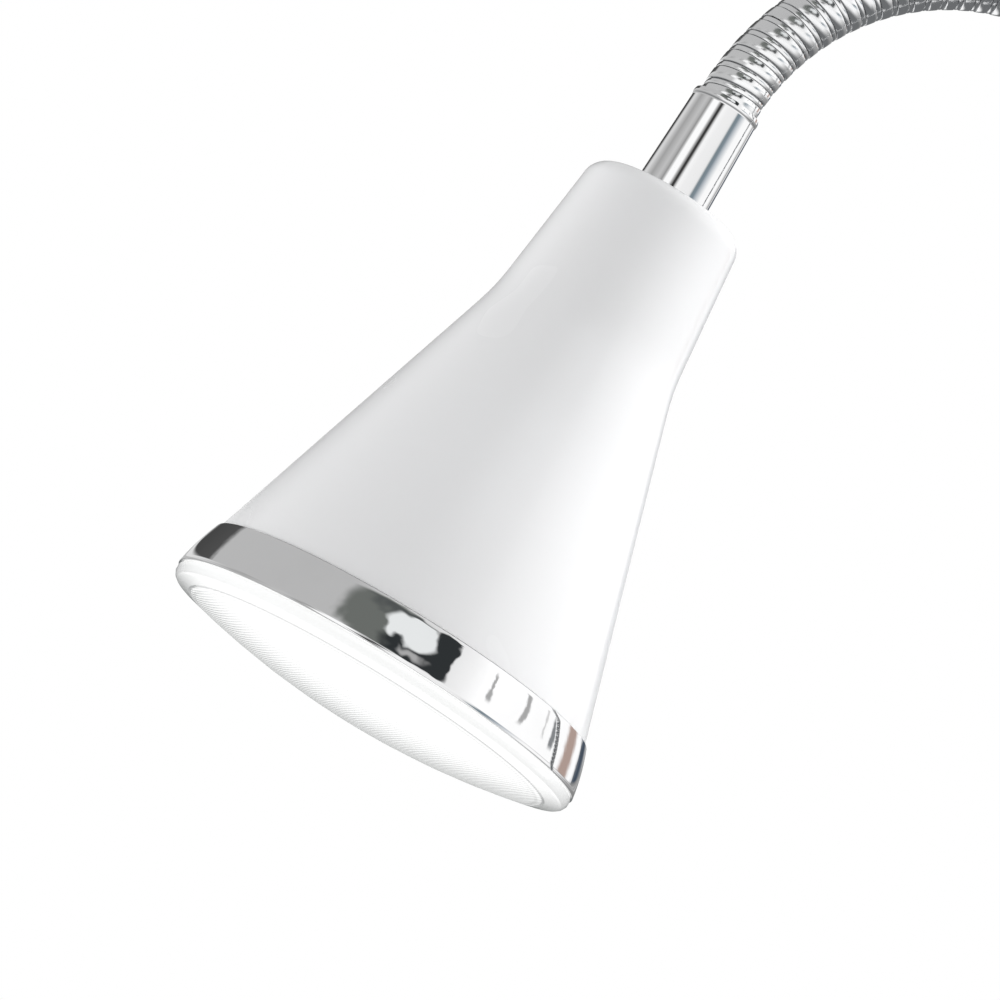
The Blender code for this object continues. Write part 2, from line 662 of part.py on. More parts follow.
def looks():
    return {
        "lacquer": material("white_lacquer", (0.86, 0.86, 0.87), 0.2),
        "chrome": material("chrome", (0.82, 0.82, 0.83), 0.06, 1.0),
        "lens": material("lit_lens", (1.0, 0.98, 0.95), 0.3, 0.0, 2.0),
        "reflector": material("reflector_white", (0.9, 0.9, 0.9), 0.35),
        "aluminium": material("aluminium", (0.6, 0.61, 0.62), 0.4, 1.0),
        "steel": material("steel", (0.55, 0.55, 0.56), 0.3, 1.0),
        "brass": material("brass", (0.75, 0.58, 0.28), 0.3, 1.0),
        "copper": material("copper_winding", (0.6, 0.3, 0.15), 0.4, 0.5),
        "board": material("circuit_board", (0.08, 0.3, 0.16), 0.5),
        "phosphor": material("phosphor", (0.95, 0.8, 0.3), 0.5),
        "plastic": material("white_plastic", (0.84, 0.84, 0.84), 0.3),
        "black": material("black_plastic", (0.03, 0.03, 0.03), 0.35),
        "rubber": material("grey_rubber", (0.2, 0.2, 0.21), 0.8),
    }


def build():
    clear_scene()
    look = looks()
    build_head(look)
    build_arm(look["chrome"])
    fixing("base", Matrix.Translation((STEM_X, 0, HOUSING_TOP)), look, WALL)
    build_housing(look)
    build_upper_jaw(look)
    build_lower_jaw(look)
    build_pads(look)
    build_pivot(look)
    build_switch(look)
    build_driver(look)
    build_fasteners(look)
    build_gland(look)


build()
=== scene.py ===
# %% [markdown]
# # A clip-on reading lamp
# A white lacquered cone with a chromed ring and a lit lens hangs from a wound chromed arm, and the arm
# grows out of a white spring clip. The working parts are already modelled as plain solids. This lesson
# gives every visible one its real surface: fine meshes for the turned head, the wound arm and the
# moulded clip, and a node material for each finish.

# %% Load the solids
import json
import math

import bpy
from mathutils import Matrix, Vector


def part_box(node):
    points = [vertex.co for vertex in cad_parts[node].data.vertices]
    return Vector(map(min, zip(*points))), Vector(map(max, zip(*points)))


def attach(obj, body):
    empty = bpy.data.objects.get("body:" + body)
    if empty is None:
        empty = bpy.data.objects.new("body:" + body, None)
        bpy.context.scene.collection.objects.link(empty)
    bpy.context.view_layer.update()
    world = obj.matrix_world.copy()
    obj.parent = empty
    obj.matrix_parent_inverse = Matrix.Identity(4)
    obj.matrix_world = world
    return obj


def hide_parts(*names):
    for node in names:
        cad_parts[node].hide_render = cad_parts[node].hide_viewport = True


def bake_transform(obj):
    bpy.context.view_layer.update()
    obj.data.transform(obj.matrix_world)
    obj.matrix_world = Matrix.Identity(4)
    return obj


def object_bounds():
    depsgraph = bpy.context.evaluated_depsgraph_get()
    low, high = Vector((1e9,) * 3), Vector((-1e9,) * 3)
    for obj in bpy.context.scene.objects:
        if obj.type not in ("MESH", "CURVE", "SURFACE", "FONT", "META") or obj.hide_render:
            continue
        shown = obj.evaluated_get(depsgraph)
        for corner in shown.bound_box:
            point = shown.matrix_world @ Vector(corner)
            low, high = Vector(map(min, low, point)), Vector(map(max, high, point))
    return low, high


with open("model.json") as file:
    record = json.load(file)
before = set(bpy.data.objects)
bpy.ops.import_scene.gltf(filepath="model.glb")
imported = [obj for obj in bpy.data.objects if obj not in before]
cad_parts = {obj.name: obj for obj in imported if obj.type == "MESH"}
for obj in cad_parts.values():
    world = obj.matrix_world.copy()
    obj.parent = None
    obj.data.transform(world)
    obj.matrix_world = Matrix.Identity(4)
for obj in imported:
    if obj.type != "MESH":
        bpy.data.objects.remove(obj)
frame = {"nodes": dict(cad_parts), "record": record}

MM = 0.001
RECORD = frame["record"]
CAD_BOX = [list(corner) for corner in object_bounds()]
print("solids:", len(frame["nodes"]), "box:", CAD_BOX)

# %% [markdown]
# ## The head's axis and the arm's line
# Everything turned is modelled upright at the origin and then set down on its axis. A round tube or disc
# has its axis through the middle of its box, so the threaded tube and the light board give two points of
# the head's axis. The joints of the arm give the stem and the arch.

# %% Axes and lines


def middle(node):
    low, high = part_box(node)
    return (low + high) / 2


def joint_spot(name):
    for joint in RECORD["behaviour"]["joints"]:
        if joint["name"] == name:
            return Vector(joint["pos_m"])
    raise ValueError(name)


NIPPLE_MIDDLE_DEPTH = 1.6 * MM
FORWARD = (middle("led_board") - middle("head_nipple")).normalized()
HEAD_TOP = middle("head_nipple") - FORWARD * NIPPLE_MIDDLE_DEPTH
ACROSS = Vector((0, 1, 0))
SIDE = ACROSS.cross(-FORWARD)
HEAD = Matrix.Translation(HEAD_TOP) @ Matrix((SIDE, ACROSS, -FORWARD)).transposed().to_4x4()

ARCH_RADIUS = 45 * MM
STEM = joint_spot("stem_bend_1")
SLEEVE_LENGTH = 17.9 * MM
GAP = 0.3 * MM
BASE_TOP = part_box("base_sleeve")[1].z
BASE_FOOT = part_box("base_sleeve")[0].z
STEM_LENGTH = 165 * MM
ARCH_CENTRE = Vector((STEM.x - ARCH_RADIUS, 0, BASE_TOP + STEM_LENGTH))
ARCH_ANGLE = math.pi - math.acos(-FORWARD.z)
ARM_LENGTH = STEM_LENGTH + ARCH_RADIUS * ARCH_ANGLE
print("head axis:", tuple(round(v, 4) for v in FORWARD), "arch:", round(math.degrees(ARCH_ANGLE), 1))

# %% [markdown]
# ## Camera
# The head is seen from a little to its left with a long lens, level with it, so that its cone hardly
# narrows with distance. The arch leaves the picture at the top.

# %% Camera
VIEW_TURN = math.radians(17.3)
TOWARDS_CAMERA = Vector((-math.sin(VIEW_TURN), -math.cos(VIEW_TURN), 0))
CAMERA_DISTANCE = 1.1
PICTURE_WIDTH = 156.5 * MM
AIM_LEFT_OF_ARCH = 75.6 * MM
AIM_BELOW_ARCH_TOP = 83.25 * MM
AIM = ARCH_CENTRE + Vector((-AIM_LEFT_OF_ARCH, 0, ARCH_RADIUS - AIM_BELOW_ARCH_TOP))

lens_data = bpy.data.cameras.new("lamp_camera")
lens_data.sensor_width = 36
lens_data.lens = lens_data.sensor_width * CAMERA_DISTANCE / PICTURE_WIDTH
camera = bpy.data.objects.new("lamp_camera", lens_data)
bpy.context.scene.collection.objects.link(camera)
camera.location = AIM + TOWARDS_CAMERA * CAMERA_DISTANCE
camera.rotation_euler = (-TOWARDS_CAMERA).to_track_quat("-Z", "Y").to_euler()
bpy.context.scene.camera = camera
bpy.context.scene.view_settings.view_transform = "Standard"
print("lens:", round(lens_data.lens), "mm")

# %% [markdown]
# ## Shader maths
# Materials need sums on values: a mask is a product, a wear map is a difference. One small class wraps
# a socket and lets Python's own operators add the Math nodes, and one method adds any other node.

# %% Node helpers


class Level:
    """A number or colour that leaves a node. Maths on it adds Math nodes."""

    def __init__(self, recipe, socket):
        self.recipe = recipe
        self.socket = socket

    def maths(self, operation, *others):
        return self.recipe.add("ShaderNodeMath", {"operation": operation}, dict(enumerate((self, *others))))

    def __add__(self, other):
        return self.maths("ADD", other)

    __radd__ = __add__

    def __mul__(self, other):
        return self.maths("MULTIPLY", other)

    __rmul__ = __mul__

    def __sub__(self, other):
        return self.maths("SUBTRACT", other)

    def __rsub__(self, other):
        return self.recipe.add("ShaderNodeMath", {"operation": "SUBTRACT"}, {0: other, 1: self})

    def __truediv__(self, other):
        return self.maths("DIVIDE", other)

    def __pow__(self, other):
        return self.maths("POWER", other)

    def band(self, low, high):
        """0 below low, 1 above high, and smooth between."""
        values = {"Value": self, "From Min": low, "From Max": high}
        return self.recipe.add("ShaderNodeMapRange", {"interpolation_type": "SMOOTHSTEP"}, values)


class Recipe:
    """A node tree with a short way to add to it."""

    def __init__(self, tree):
        self.tree = tree

    def put(self, value, socket):
        if isinstance(value, Level):
            self.tree.links.new(value.socket, socket)
        else:
            socket.default_value = value

    def add(self, kind, settings=None, values=None, output=0):
        made = self.tree.nodes.new(kind)
        for key, value in (settings or {}).items():
            if key == "stops":
                self.set_stops(made.color_ramp, value)
            else:
                setattr(made, key, value)
        for key, value in (values or {}).items():
            self.put(value, made.inputs[key])
        return Level(self, made.outputs[output])

    def set_stops(self, ramp, stops):
        while len(ramp.elements) < len(stops):
            ramp.elements.new(1.0)
        for element, (place, shade) in zip(ramp.elements, stops):
            element.position = place
            element.color = (*shade, 1.0) if isinstance(shade, tuple) else (shade, shade, shade, 1.0)

    def noise(self, scale, detail=3.0, roughness=0.5, place=None):
        values = {"Scale": scale, "Detail": detail, "Roughness": roughness}
        if place is not None:
            values["Vector"] = place
        return self.add("ShaderNodeTexNoise", {}, values)

    def blend(self, factor, low, high):
        """A colour mixed from low to high by a factor."""
        return self.add("ShaderNodeMix", {"data_type": "RGBA"}, {0: factor, 6: low, 7: high}, 2)

    def bump(self, height, distance, strength=1.0):
        values = {"Height": height, "Distance": distance, "Strength": strength}
        return self.add("ShaderNodeBump", {}, values)


class Finish(Recipe):
    """A material: a Recipe whose tree ends in a Principled shader."""

    def __init__(self, name):
        self.material = bpy.data.materials.new(name)
        self.material.use_nodes = True
        super().__init__(self.material.node_tree)
        self.shader = self.tree.nodes["Principled BSDF"]
        self.spot = self.add("ShaderNodeTexCoord", {}, {}, "Object")

    def surface(self, values):
        for name, value in values.items():
            self.put(value, self.shader.inputs[name])
        return self.material


print("node helpers ready")

# %% [markdown]
# ## Studio
# Chrome shows only what stands round it. A white tent alone makes chrome look like paper. Studios hang
# grey and black cards in the tent, and the cards turn into the bands of polished metal. A mirror shows the camera the card that lies on the far side of the
# mirror's normal, so the tent is laid out by that normal: how far round the head it faces, and how much
# it leans back from the lens. Cards for the straight sleeve and cards for the flared ring then don't get
# in each other's way. Matt surfaces see a softer tent: bright at both sides, dim in front, behind and
# above.

# %% Tent axes
TENT_FRONT = (TOWARDS_CAMERA - FORWARD * TOWARDS_CAMERA.dot(FORWARD)).normalized()
TENT_SIDE = TENT_FRONT.cross(FORWARD)

world = bpy.data.worlds.new("light_tent")
world.use_nodes = True
bpy.context.scene.world = world
tent = Recipe(world.node_tree)
outward = tent.add("ShaderNodeTexCoord", {}, {}, "Generated")


def vector_step(operation, first, second, output=0):
    return tent.add("ShaderNodeVectorMath", {"operation": operation}, {0: first, 1: second}, output)


def share_along(direction, axis):
    return vector_step("DOT_PRODUCT", direction, tuple(axis), "Value")


facing = vector_step("NORMALIZE", vector_step("ADD", outward, tuple(TOWARDS_CAMERA)), (0, 0, 0))
facing_front = share_along(facing, TENT_FRONT)
facing_side = share_along(facing, TENT_SIDE)
lean = share_along(facing, -FORWARD)
across = facing_side / (facing_front * facing_front + facing_side * facing_side + 1e-6) ** 0.5
print("tent front:", tuple(round(v, 3) for v in TENT_FRONT))

# %% Cards for the sleeve
SLEEVE_CARDS = [(-0.99, 0.75), (-0.92, 0.58), (-0.80, 0.38), (-0.60, 0.56), (-0.53, 0.46), (-0.48, 0.30)]
SLEEVE_CARDS += [(-0.44, 0.60), (-0.40, 1.05), (-0.27, 1.05), (-0.22, 0.45), (-0.17, 0.03), (-0.13, 0.06)]
SLEEVE_CARDS += [(-0.09, 0.60), (-0.05, 1.00), (0.08, 0.92), (0.28, 0.90), (0.33, 0.86)]
SLEEVE_CARDS += [(0.38, (0.20, 0.25, 0.28)), (0.44, (0.22, 0.27, 0.31)), (0.50, (0.50, 0.54, 0.58))]
SLEEVE_CARDS += [(0.62, 1.02), (0.78, 1.05), (0.84, 0.70), (0.92, 0.28), (0.99, 0.55)]


def row_of_cards(cards, place):
    """A ramp whose stops lie between -1, the left edge of a turned piece, and 1, its right edge."""
    stops = [((x + 1) / 2, shade) for x, shade in cards]
    return tent.add("ShaderNodeValToRGB", {"stops": stops}, {"Fac": (place + 1) / 2})


SLEEVE_SHIFT = 0.05
SLEEVE_LEAN = 0.06
ARM_CARDS = [(-1.0, 0.50), (-0.30, 0.55), (-0.18, 1.0), (0.55, 1.0), (0.75, 0.45), (1.0, 0.25)]
SWING_TURNS = 95
SWING_WIDTH = 0.035
swing = (lean * SWING_TURNS).maths("SINE") * SWING_WIDTH
sleeve_cards = row_of_cards(SLEEVE_CARDS, across - SLEEVE_SHIFT - swing)
arm_cards = row_of_cards(ARM_CARDS, across)
off_sleeve = (lean - SLEEVE_LEAN).maths("ABSOLUTE").band(0.03, 0.05)
sleeve_cards = tent.blend(off_sleeve, sleeve_cards, arm_cards)
print("sleeve cards:", len(SLEEVE_CARDS), "arm cards:", len(ARM_CARDS))

# %% Cards for the ring
RING_CARDS = [(-0.999, 0.50), (-0.988, 0.06), (-0.895, 0.08), (-0.875, 0.50), (-0.30, 0.50), (0.20, 0.80)]
RING_CARDS += [(0.34, 0.95), (0.42, 1.10), (0.950, 1.05), (0.962, (0.06, 0.08, 0.11))]
RING_CARDS += [(0.980, (0.06, 0.08, 0.11)), (0.995, 0.60)]
LEAN_LOW = 0.16
LEAN_HIGH = 0.37
CHARCOAL = (0.030, 0.034, 0.036, 1)
DARK_GREY = (0.085, 0.092, 0.092, 1)
OLIVE_GREY = (0.150, 0.160, 0.150, 1)
OFF_WHITE = (0.84, 0.86, 0.86, 1)
STREAK_GREY = (0.42, 0.42, 0.42, 1)
PALE_STREAK = (0.70, 0.70, 0.70, 1)
DARK_STREAK = (0.25, 0.26, 0.27, 1)
ROSE_BROWN = (0.45, 0.34, 0.30, 1)

ripple = tent.noise(7.0, 1.0, 0.5, outward)
fine_ripple = tent.noise(24.0, 3.0, 0.6, outward)
height = (lean - LEAN_LOW) / (LEAN_HIGH - LEAN_LOW)
ragged_across = across + (ripple - 0.5) * 0.10 + (fine_ripple - 0.5) * 0.012
ragged_height = height + (ripple - 0.5) * 0.5 + (fine_ripple - 0.5) * 0.03


def round_card(centre, half, softness=0.12):
    """1 inside a ragged oval of the tent and 0 outside it."""
    x = (ragged_across - centre[0]) / half[0]
    y = (ragged_height - centre[1]) / half[1]
    distance = (x * x + y * y) ** 0.5
    return 1 - distance.band(1 - softness, 1 + softness)


def streak(centre, half_width, low, high, curve=0.0):
    """1 along a thin upright streak, which may bow like the letter J."""
    bowed = across + (fine_ripple - 0.5) * 0.02 - centre + (height - 0.6) * (height - 0.6) * curve
    thin = 1 - bowed.maths("ABSOLUTE").band(half_width * 0.5, half_width * 1.4)
    return thin * height.band(low - 0.08, low + 0.08) * (1 - height.band(high - 0.08, high + 0.08))


ring_cards = row_of_cards(RING_CARDS, across + (fine_ripple - 0.5) * 0.02)
LOOSE_CARDS = [
    (round_card((-0.09, 0.45), (0.215, 0.85), 0.18), OLIVE_GREY),
    (round_card((-0.04, 0.90), (0.17, 0.22), 0.4), DARK_GREY),
    (round_card((0.195, 0.50), (0.065, 0.75)), CHARCOAL),
    (round_card((0.06, 0.13), (0.15, 0.28), 0.25), CHARCOAL),
    (round_card((0.07, 0.10), (0.06, 0.08), 0.6), STREAK_GREY),
    (round_card((0.030, 0.56), (0.135, 0.33)), OFF_WHITE),
    (streak(0.46, 0.007, 0.25, 0.80), STREAK_GREY),
    (streak(0.46, 0.014, 0.20, 0.42), STREAK_GREY),
    (streak(0.645, 0.012, 0.20, 0.90, 0.10), STREAK_GREY),
    (streak(0.75, 0.005, 0.25, 0.90), PALE_STREAK),
    (streak(0.80, 0.012, 0.15, 0.95), DARK_STREAK),
    (streak(0.898, 0.026, -0.5, 1.5), ROSE_BROWN),
]
for mask, colour in LOOSE_CARDS:
    ring_cards = tent.blend(mask, ring_cards, colour)
print("ring cards:", len(RING_CARDS) + len(LOOSE_CARDS))

# %% Tent light
RING_ZONE = (0.10, 0.125)
LENS_ZONE = (0.80, 0.90)
ARCH_ZONE = (0.10, 0.30)
FLAT_VIEW = (0.12, 0.30)
WHITE = (1.0, 1.0, 1.0, 1.0)
BLACK = (0.0, 0.0, 0.0, 1.0)
ARCH_GREY = (0.15, 0.155, 0.16, 1)
RIM_GREY = (0.13, 0.14, 0.14, 1)
cards = tent.blend(lean.band(*RING_ZONE), sleeve_cards, ring_cards)
cards = tent.blend((0 - lean).band(*ARCH_ZONE), cards, ARCH_GREY)
rim_card = 1 - share_along(facing, TOWARDS_CAMERA).band(*FLAT_VIEW)
lens_cards = tent.blend(rim_card, WHITE, RIM_GREY)
cards = tent.blend((0 - lean).band(*LENS_ZONE), cards, lens_cards)
to_front = share_along(outward, TENT_FRONT)
in_front = to_front.maths("MAXIMUM", 0.0)
behind = (0 - to_front).maths("MAXIMUM", 0.0)
overhead = share_along(outward, (0, 0, 1)).maths("MAXIMUM", 0.0)
side_light = 4.23 + 0.77 * share_along(outward, TENT_SIDE)
soft_tent = (side_light - 3.28 * in_front - 2.79 * behind - 2.44 * overhead).maths("MAXIMUM", 0.0)
soft_colour = tent.add("ShaderNodeCombineColor", {}, {0: soft_tent, 1: soft_tent, 2: soft_tent})


def ray_is(kind):
    return tent.add("ShaderNodeLightPath", {}, {}, kind)


lit = tent.blend(ray_is("Is Diffuse Ray"), cards, soft_colour)
lit = tent.blend(ray_is("Is Camera Ray"), lit, WHITE)
tent.put(lit, world.node_tree.nodes["Background"].inputs["Color"])
print("tent nodes:", len(world.node_tree.nodes))

# %% [markdown]
# ## Floor
# A round sheet of pale paper, a hair below the lamp. Mirrors don't see it, so it puts no edge of its own
# in the chrome.

# %% Floor
FLOOR_DROP = 1 * MM
FLOOR_RADIUS = 1.5
bpy.ops.object.select_all(action="DESELECT")
bpy.ops.mesh.primitive_circle_add(
    vertices=96, radius=FLOOR_RADIUS, fill_type="NGON", location=(0, 0, CAD_BOX[0][2] - FLOOR_DROP)
)
floor = bpy.context.object
floor.name = "floor"
paper = Finish("floor_paper")
paper_roughness = 0.6 + 0.1 * paper.noise(40, place=paper.spot)
PAPER = paper.surface({"Base Color": (0.68, 0.68, 0.68, 1), "Roughness": paper_roughness})
floor.data.materials.append(PAPER)
floor.visible_glossy = False
print("floor at", round(floor.location.z, 4))

# %% [markdown]
# ## White lacquer
# Sprayed gloss lacquer on metal: nearly white, a clear coat on top, and the faint waviness of sprayed
# paint, called orange peel. The waviness goes into the normal, far too shallow to see as a shape, but it
# softens every reflection the way real paint does.

# %% Lacquer
lacquer = Finish("white_lacquer")
peel = lacquer.noise(420, 2.0, 0.5, lacquer.spot)
drift = lacquer.noise(28, 2.0, 0.5, lacquer.spot)
WHITE_LACQUER = lacquer.surface(
    {
        "Base Color": lacquer.blend(drift, (0.88, 0.885, 0.895, 1), (0.90, 0.90, 0.905, 1)),
        "Roughness": 0.24 + 0.06 * drift,
        "Specular IOR Level": 0.25,
        "Coat Weight": 0.25,
        "Coat Roughness": 0.08,
        "Normal": lacquer.bump(peel, 0.004 * MM, 0.5),
    }
)
print("lacquer ready")

# %% [markdown]
# ## Chrome
# Plated chrome is a mirror with a slightly cool tint. A mirror with no fault looks computed, so the
# roughness rises a little in soft patches, as where a cloth has passed over it. The wound strip's chrome
# is brushed a little by winding, and its grooves carry painted shade: darker and rougher towards their
# bottom.

# %% Chrome


def soft_patches(plate):
    return plate.noise(60, 4.0, 0.6, plate.spot).band(0.45, 0.75)


mirror = Finish("mirror_chrome")
smears = soft_patches(mirror)
MIRROR_CHROME = mirror.surface(
    {
        "Base Color": mirror.blend(smears, (0.93, 0.93, 0.935, 1), (0.902, 0.902, 0.907, 1)),
        "Metallic": 1.0,
        "Roughness": 0.02 + 0.03 * smears,
    }
)

wound = Finish("strip_chrome")
patches = soft_patches(wound)
# painted shade: the strip's colour darkens to grey towards the bottom of each groove, and its roughness
# rises there
groove_shade_mask = wound.add("ShaderNodeAttribute", {"attribute_name": "groove"}, {}, "Fac").band(0.25, 1.0)
bright = wound.blend(patches, (0.97, 0.975, 0.98, 1), (0.93, 0.935, 0.945, 1))
STRIP_CHROME = wound.surface(
    {
        "Base Color": wound.blend(groove_shade_mask, bright, (0.50, 0.505, 0.515, 1)),
        "Metallic": 1.0,
        "Roughness": 0.12 + 0.06 * patches + 0.15 * groove_shade_mask,
    }
)
print("chromes ready")

# %% [markdown]
# ## Turning a piece
# The head is all turned work. A circle is the first cut of the lathe: extrude it along the axis, scale it
# to the next radius, and repeat. The last ring is bridged to the first, or the ends are filled, and if
# asked, a narrow bevel takes the edge off every sharp corner, because real edges always catch a line of
# light.

# %% Turning helper


def all_edit():
    bpy.ops.object.mode_set(mode="EDIT")
    bpy.ops.mesh.select_all(action="SELECT")


def finish_piece(piece, name, material, body, nodes, place=None, crease=35):
    """Names a piece, sets it down in its place, shades it, and hands it to its body."""
    bpy.ops.object.select_all(action="DESELECT")
    piece.select_set(True)
    bpy.context.view_layer.objects.active = piece
    if place is not None:
        piece.matrix_world = place @ piece.matrix_world
    bpy.ops.object.transform_apply(location=True, rotation=True, scale=True)
    bpy.ops.object.shade_smooth_by_angle(angle=math.radians(crease))
    piece.name = name
    piece.data.name = name
    piece.data.materials.clear()
    piece.data.materials.append(material)
    if nodes:
        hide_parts(*nodes)
    if body:
        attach(piece, body)
    print(name, "faces:", len(piece.data.polygons))
    return piece


def apply_modifier(piece, kind, **settings):
    bpy.context.view_layer.objects.active = piece
    change = piece.modifiers.new(kind.lower(), kind)
    for key, value in settings.items():
        setattr(change, key, value)
    bpy.ops.object.modifier_apply(modifier=change.name)


def round_rims(piece, width, segments=4, angle=40):
    """Rounds the edges that are sharper than an angle."""
    limit = math.radians(angle)
    apply_modifier(
        piece, "BEVEL", width=width, segments=segments, limit_method="ANGLE", angle_limit=limit
    )


def turn_piece(outline, steps, bevel=0.0):
    """Turns (distance forward, radius) points about the Z axis, forward being down."""
    bpy.ops.object.select_all(action="DESELECT")
    start, radius = outline[0]
    place = (0, 0, -start)
    bpy.ops.mesh.primitive_circle_add(vertices=steps, radius=radius, location=place, fill_type="NOTHING")
    piece = bpy.context.object
    bpy.ops.object.transform_apply(location=True)
    all_edit()
    for (here, radius), (there, wider) in zip(outline, outline[1:]):
        bpy.ops.mesh.extrude_region_move(TRANSFORM_OT_translate={"value": (0, 0, here - there)})
        growth = wider / radius
        bpy.ops.transform.resize(value=(growth, growth, 1), center_override=(0, 0, -there))
    bpy.ops.mesh.select_all(action="DESELECT")
    bpy.ops.mesh.select_non_manifold()
    if min(outline[0][1], outline[-1][1]) < 0.5 * MM:
        bpy.ops.mesh.fill_holes(sides=0)
    else:
        bpy.ops.mesh.bridge_edge_loops()
    bpy.ops.mesh.select_all(action="SELECT")
    bpy.ops.mesh.normals_make_consistent(inside=False)
    bpy.ops.object.mode_set(mode="OBJECT")
    if bevel:
        round_rims(piece, bevel, 3, 32)
    return piece


print("turning helper ready")


# %% [markdown]
# ## Shade
# Spun from sheet metal: a slim neck with a rolled shoulder, then a cone. The neck and the cone don't
# meet in a corner: the spinner's tool leaves a soft bend, drawn here as a curve that has the neck's
# slope at one end and the cone's at the other.

# %% Shade
NECK_SLOPE = math.tan(math.radians(6.2))
CONE_SLOPE = math.tan(math.radians(17.0))
BEND_START = 22.8 * MM
BEND_END = 29.8 * MM
BEND_STEPS = 10
CONE_AT = 30.4 * MM
CONE_RADIUS = 17.56 * MM
SHADE_END = 81.6 * MM
SHADE_WALL = 1.2 * MM
SHOULDER = 3.5 * MM
FLAT_RADIUS = 10.6 * MM
TOP_HOLE = 5.1 * MM
UNDER_TOP = 1.6 * MM


def shade_radius(distance):
    """Neck line, soft bend, cone line."""
    if distance >= BEND_END:
        return CONE_RADIUS + (distance - CONE_AT) * CONE_SLOPE
    centre = (BEND_START + BEND_END) / 2
    neck = CONE_RADIUS + (centre - CONE_AT) * CONE_SLOPE + (distance - centre) * NECK_SLOPE
    into_bend = max(0.0, distance - BEND_START)
    return neck + (CONE_SLOPE - NECK_SLOPE) * into_bend**2 / (2 * (BEND_END - BEND_START))


def steps_between(start, end, count):
    return [start + (end - start) * k / count for k in range(count + 1)]


shade_outline = [(0, TOP_HOLE), (0, FLAT_RADIUS)]
for angle in steps_between(0, math.pi / 2, 10)[1:-1]:
    reach = FLAT_RADIUS + (shade_radius(SHOULDER) - FLAT_RADIUS) * math.sin(angle)
    shade_outline.append((SHOULDER * (1 - math.cos(angle)), reach))
stations = [SHOULDER, 13 * MM] + steps_between(BEND_START, BEND_END, BEND_STEPS) + [55 * MM, SHADE_END]
shade_outline += [(s, shade_radius(s)) for s in stations]
shade_outline += [(s, shade_radius(s) - SHADE_WALL) for s in (SHADE_END, BEND_END, BEND_START, 4.5 * MM)]
shade_outline += [(2 * MM, 11.2 * MM), (UNDER_TOP, 10.2 * MM), (UNDER_TOP, TOP_HOLE)]
shade = turn_piece(shade_outline, 160, 0.12 * MM)
finish_piece(shade, "lacquered_shade", WHITE_LACQUER, "head", ["shade"], HEAD)

# %% [markdown]
# ## Trim ring
# A turned and plated ring pressed onto the shade's front edge. It stands a hair proud of the lacquer, so
# a thin dark line runs between white and chrome, and its front lip is narrow and bright.

# %% Trim ring
RING_START = 81.7 * MM
RING_END = 89.6 * MM
RING_START_RADIUS = 33.65 * MM
RING_END_RADIUS = 35.80 * MM
RING_BULGE = 0.25 * MM
RING_BAND_STEPS = 10

ring_outline = [(RING_START, 31.5 * MM)]
for share in steps_between(0, 1, RING_BAND_STEPS):
    straight = RING_START_RADIUS + (RING_END_RADIUS - RING_START_RADIUS) * share
    along = RING_START + (RING_END - RING_START) * share
    ring_outline.append((along, straight + RING_BULGE * 4 * share * (1 - share)))
RING_INSIDE = [(89.6, 33.5), (84.6, 33.5), (84.6, 30.6), (77.5, 28.9), (77.5, 30.2)]
ring_outline += [(s * MM, r * MM) for s, r in RING_INSIDE]
trim = turn_piece(ring_outline, 192, 0.06 * MM)
finish_piece(trim, "chromed_ring", MIRROR_CHROME, "head", ["trim_ring"], HEAD)

# %% [markdown]
# ## Lit lens
# A shallow moulded dome. Its rim band is smooth, then a fine step runs round, and inside it the lens
# carries a fine grid of ribs that spreads the light. The step is cut in the mesh. The grid is finer
# than a mesh should be, so it is sine waves in the glow and in the bump. A clear coat lies over the glow,
# thicker in the ribs' grooves: at a flat angle its skin mirrors the tent and the ribs show as fine ticks.

# %% Lens finish and mesh
LENS_APEX = 96.2 * MM
DOME_RADIUS = 135 * MM
STEP_RADIUS = 32.1 * MM
STEP_DEPTH = 0.08 * MM
RIB_PITCH = 0.6 * MM


def dome(radius, apex=LENS_APEX):
    return apex - (DOME_RADIUS - math.sqrt(DOME_RADIUS**2 - radius**2))


glow = Finish("lit_lens")
turned_back = HEAD.inverted()
on_axis = glow.add(
    "ShaderNodeMapping",
    {"vector_type": "POINT"},
    {
        "Vector": glow.spot,
        "Location": tuple(turned_back.translation),
        "Rotation": tuple(turned_back.to_euler("XYZ")),
    },
)
side_place = glow.add("ShaderNodeSeparateXYZ", {}, {"Vector": on_axis}, "X")
across_place = glow.add("ShaderNodeSeparateXYZ", {}, {"Vector": on_axis}, "Y")
from_axis = (side_place * side_place + across_place * across_place) ** 0.5
side_wave = (side_place * (math.tau / RIB_PITCH)).maths("SINE")
across_wave = (across_place * (math.tau / RIB_PITCH)).maths("SINE")
inside_step = 1 - from_axis.band(STEP_RADIUS - 0.3 * MM, STEP_RADIUS)
grain = ((side_wave + across_wave) * 0.25 + 0.5) * inside_step
groove_line = side_wave.band(-0.5, 0.6)
clear_skin = 1 - inside_step * (0.9 - 0.9 * groove_line)


def fine_circle(radius):
    """1 on a thin line round the lens's axis."""
    offset = (from_axis - radius).maths("ABSOLUTE")
    return 1 - offset.band(0.1 * MM, 0.4 * MM)


# painted shade in the glow: two thin dark circles at the step, and the rib grid's waves dim it faintly
painted_glow_shade = 0.06 * grain + 0.40 * fine_circle(STEP_RADIUS) + 0.16 * fine_circle(STEP_RADIUS - 1.1 * MM)
LIT_LENS = glow.surface(
    {
        "Base Color": (0.30, 0.31, 0.32, 1),
        "Roughness": 0.25,
        "Emission Color": glow.blend(painted_glow_shade, (1.0, 0.998, 0.985, 1), BLACK),
        "Emission Strength": 0.76,
        "Coat Weight": clear_skin,
        "Coat Roughness": 0.05,
        "Normal": glow.bump(grain, 0.02 * MM, 1.0),
    }
)

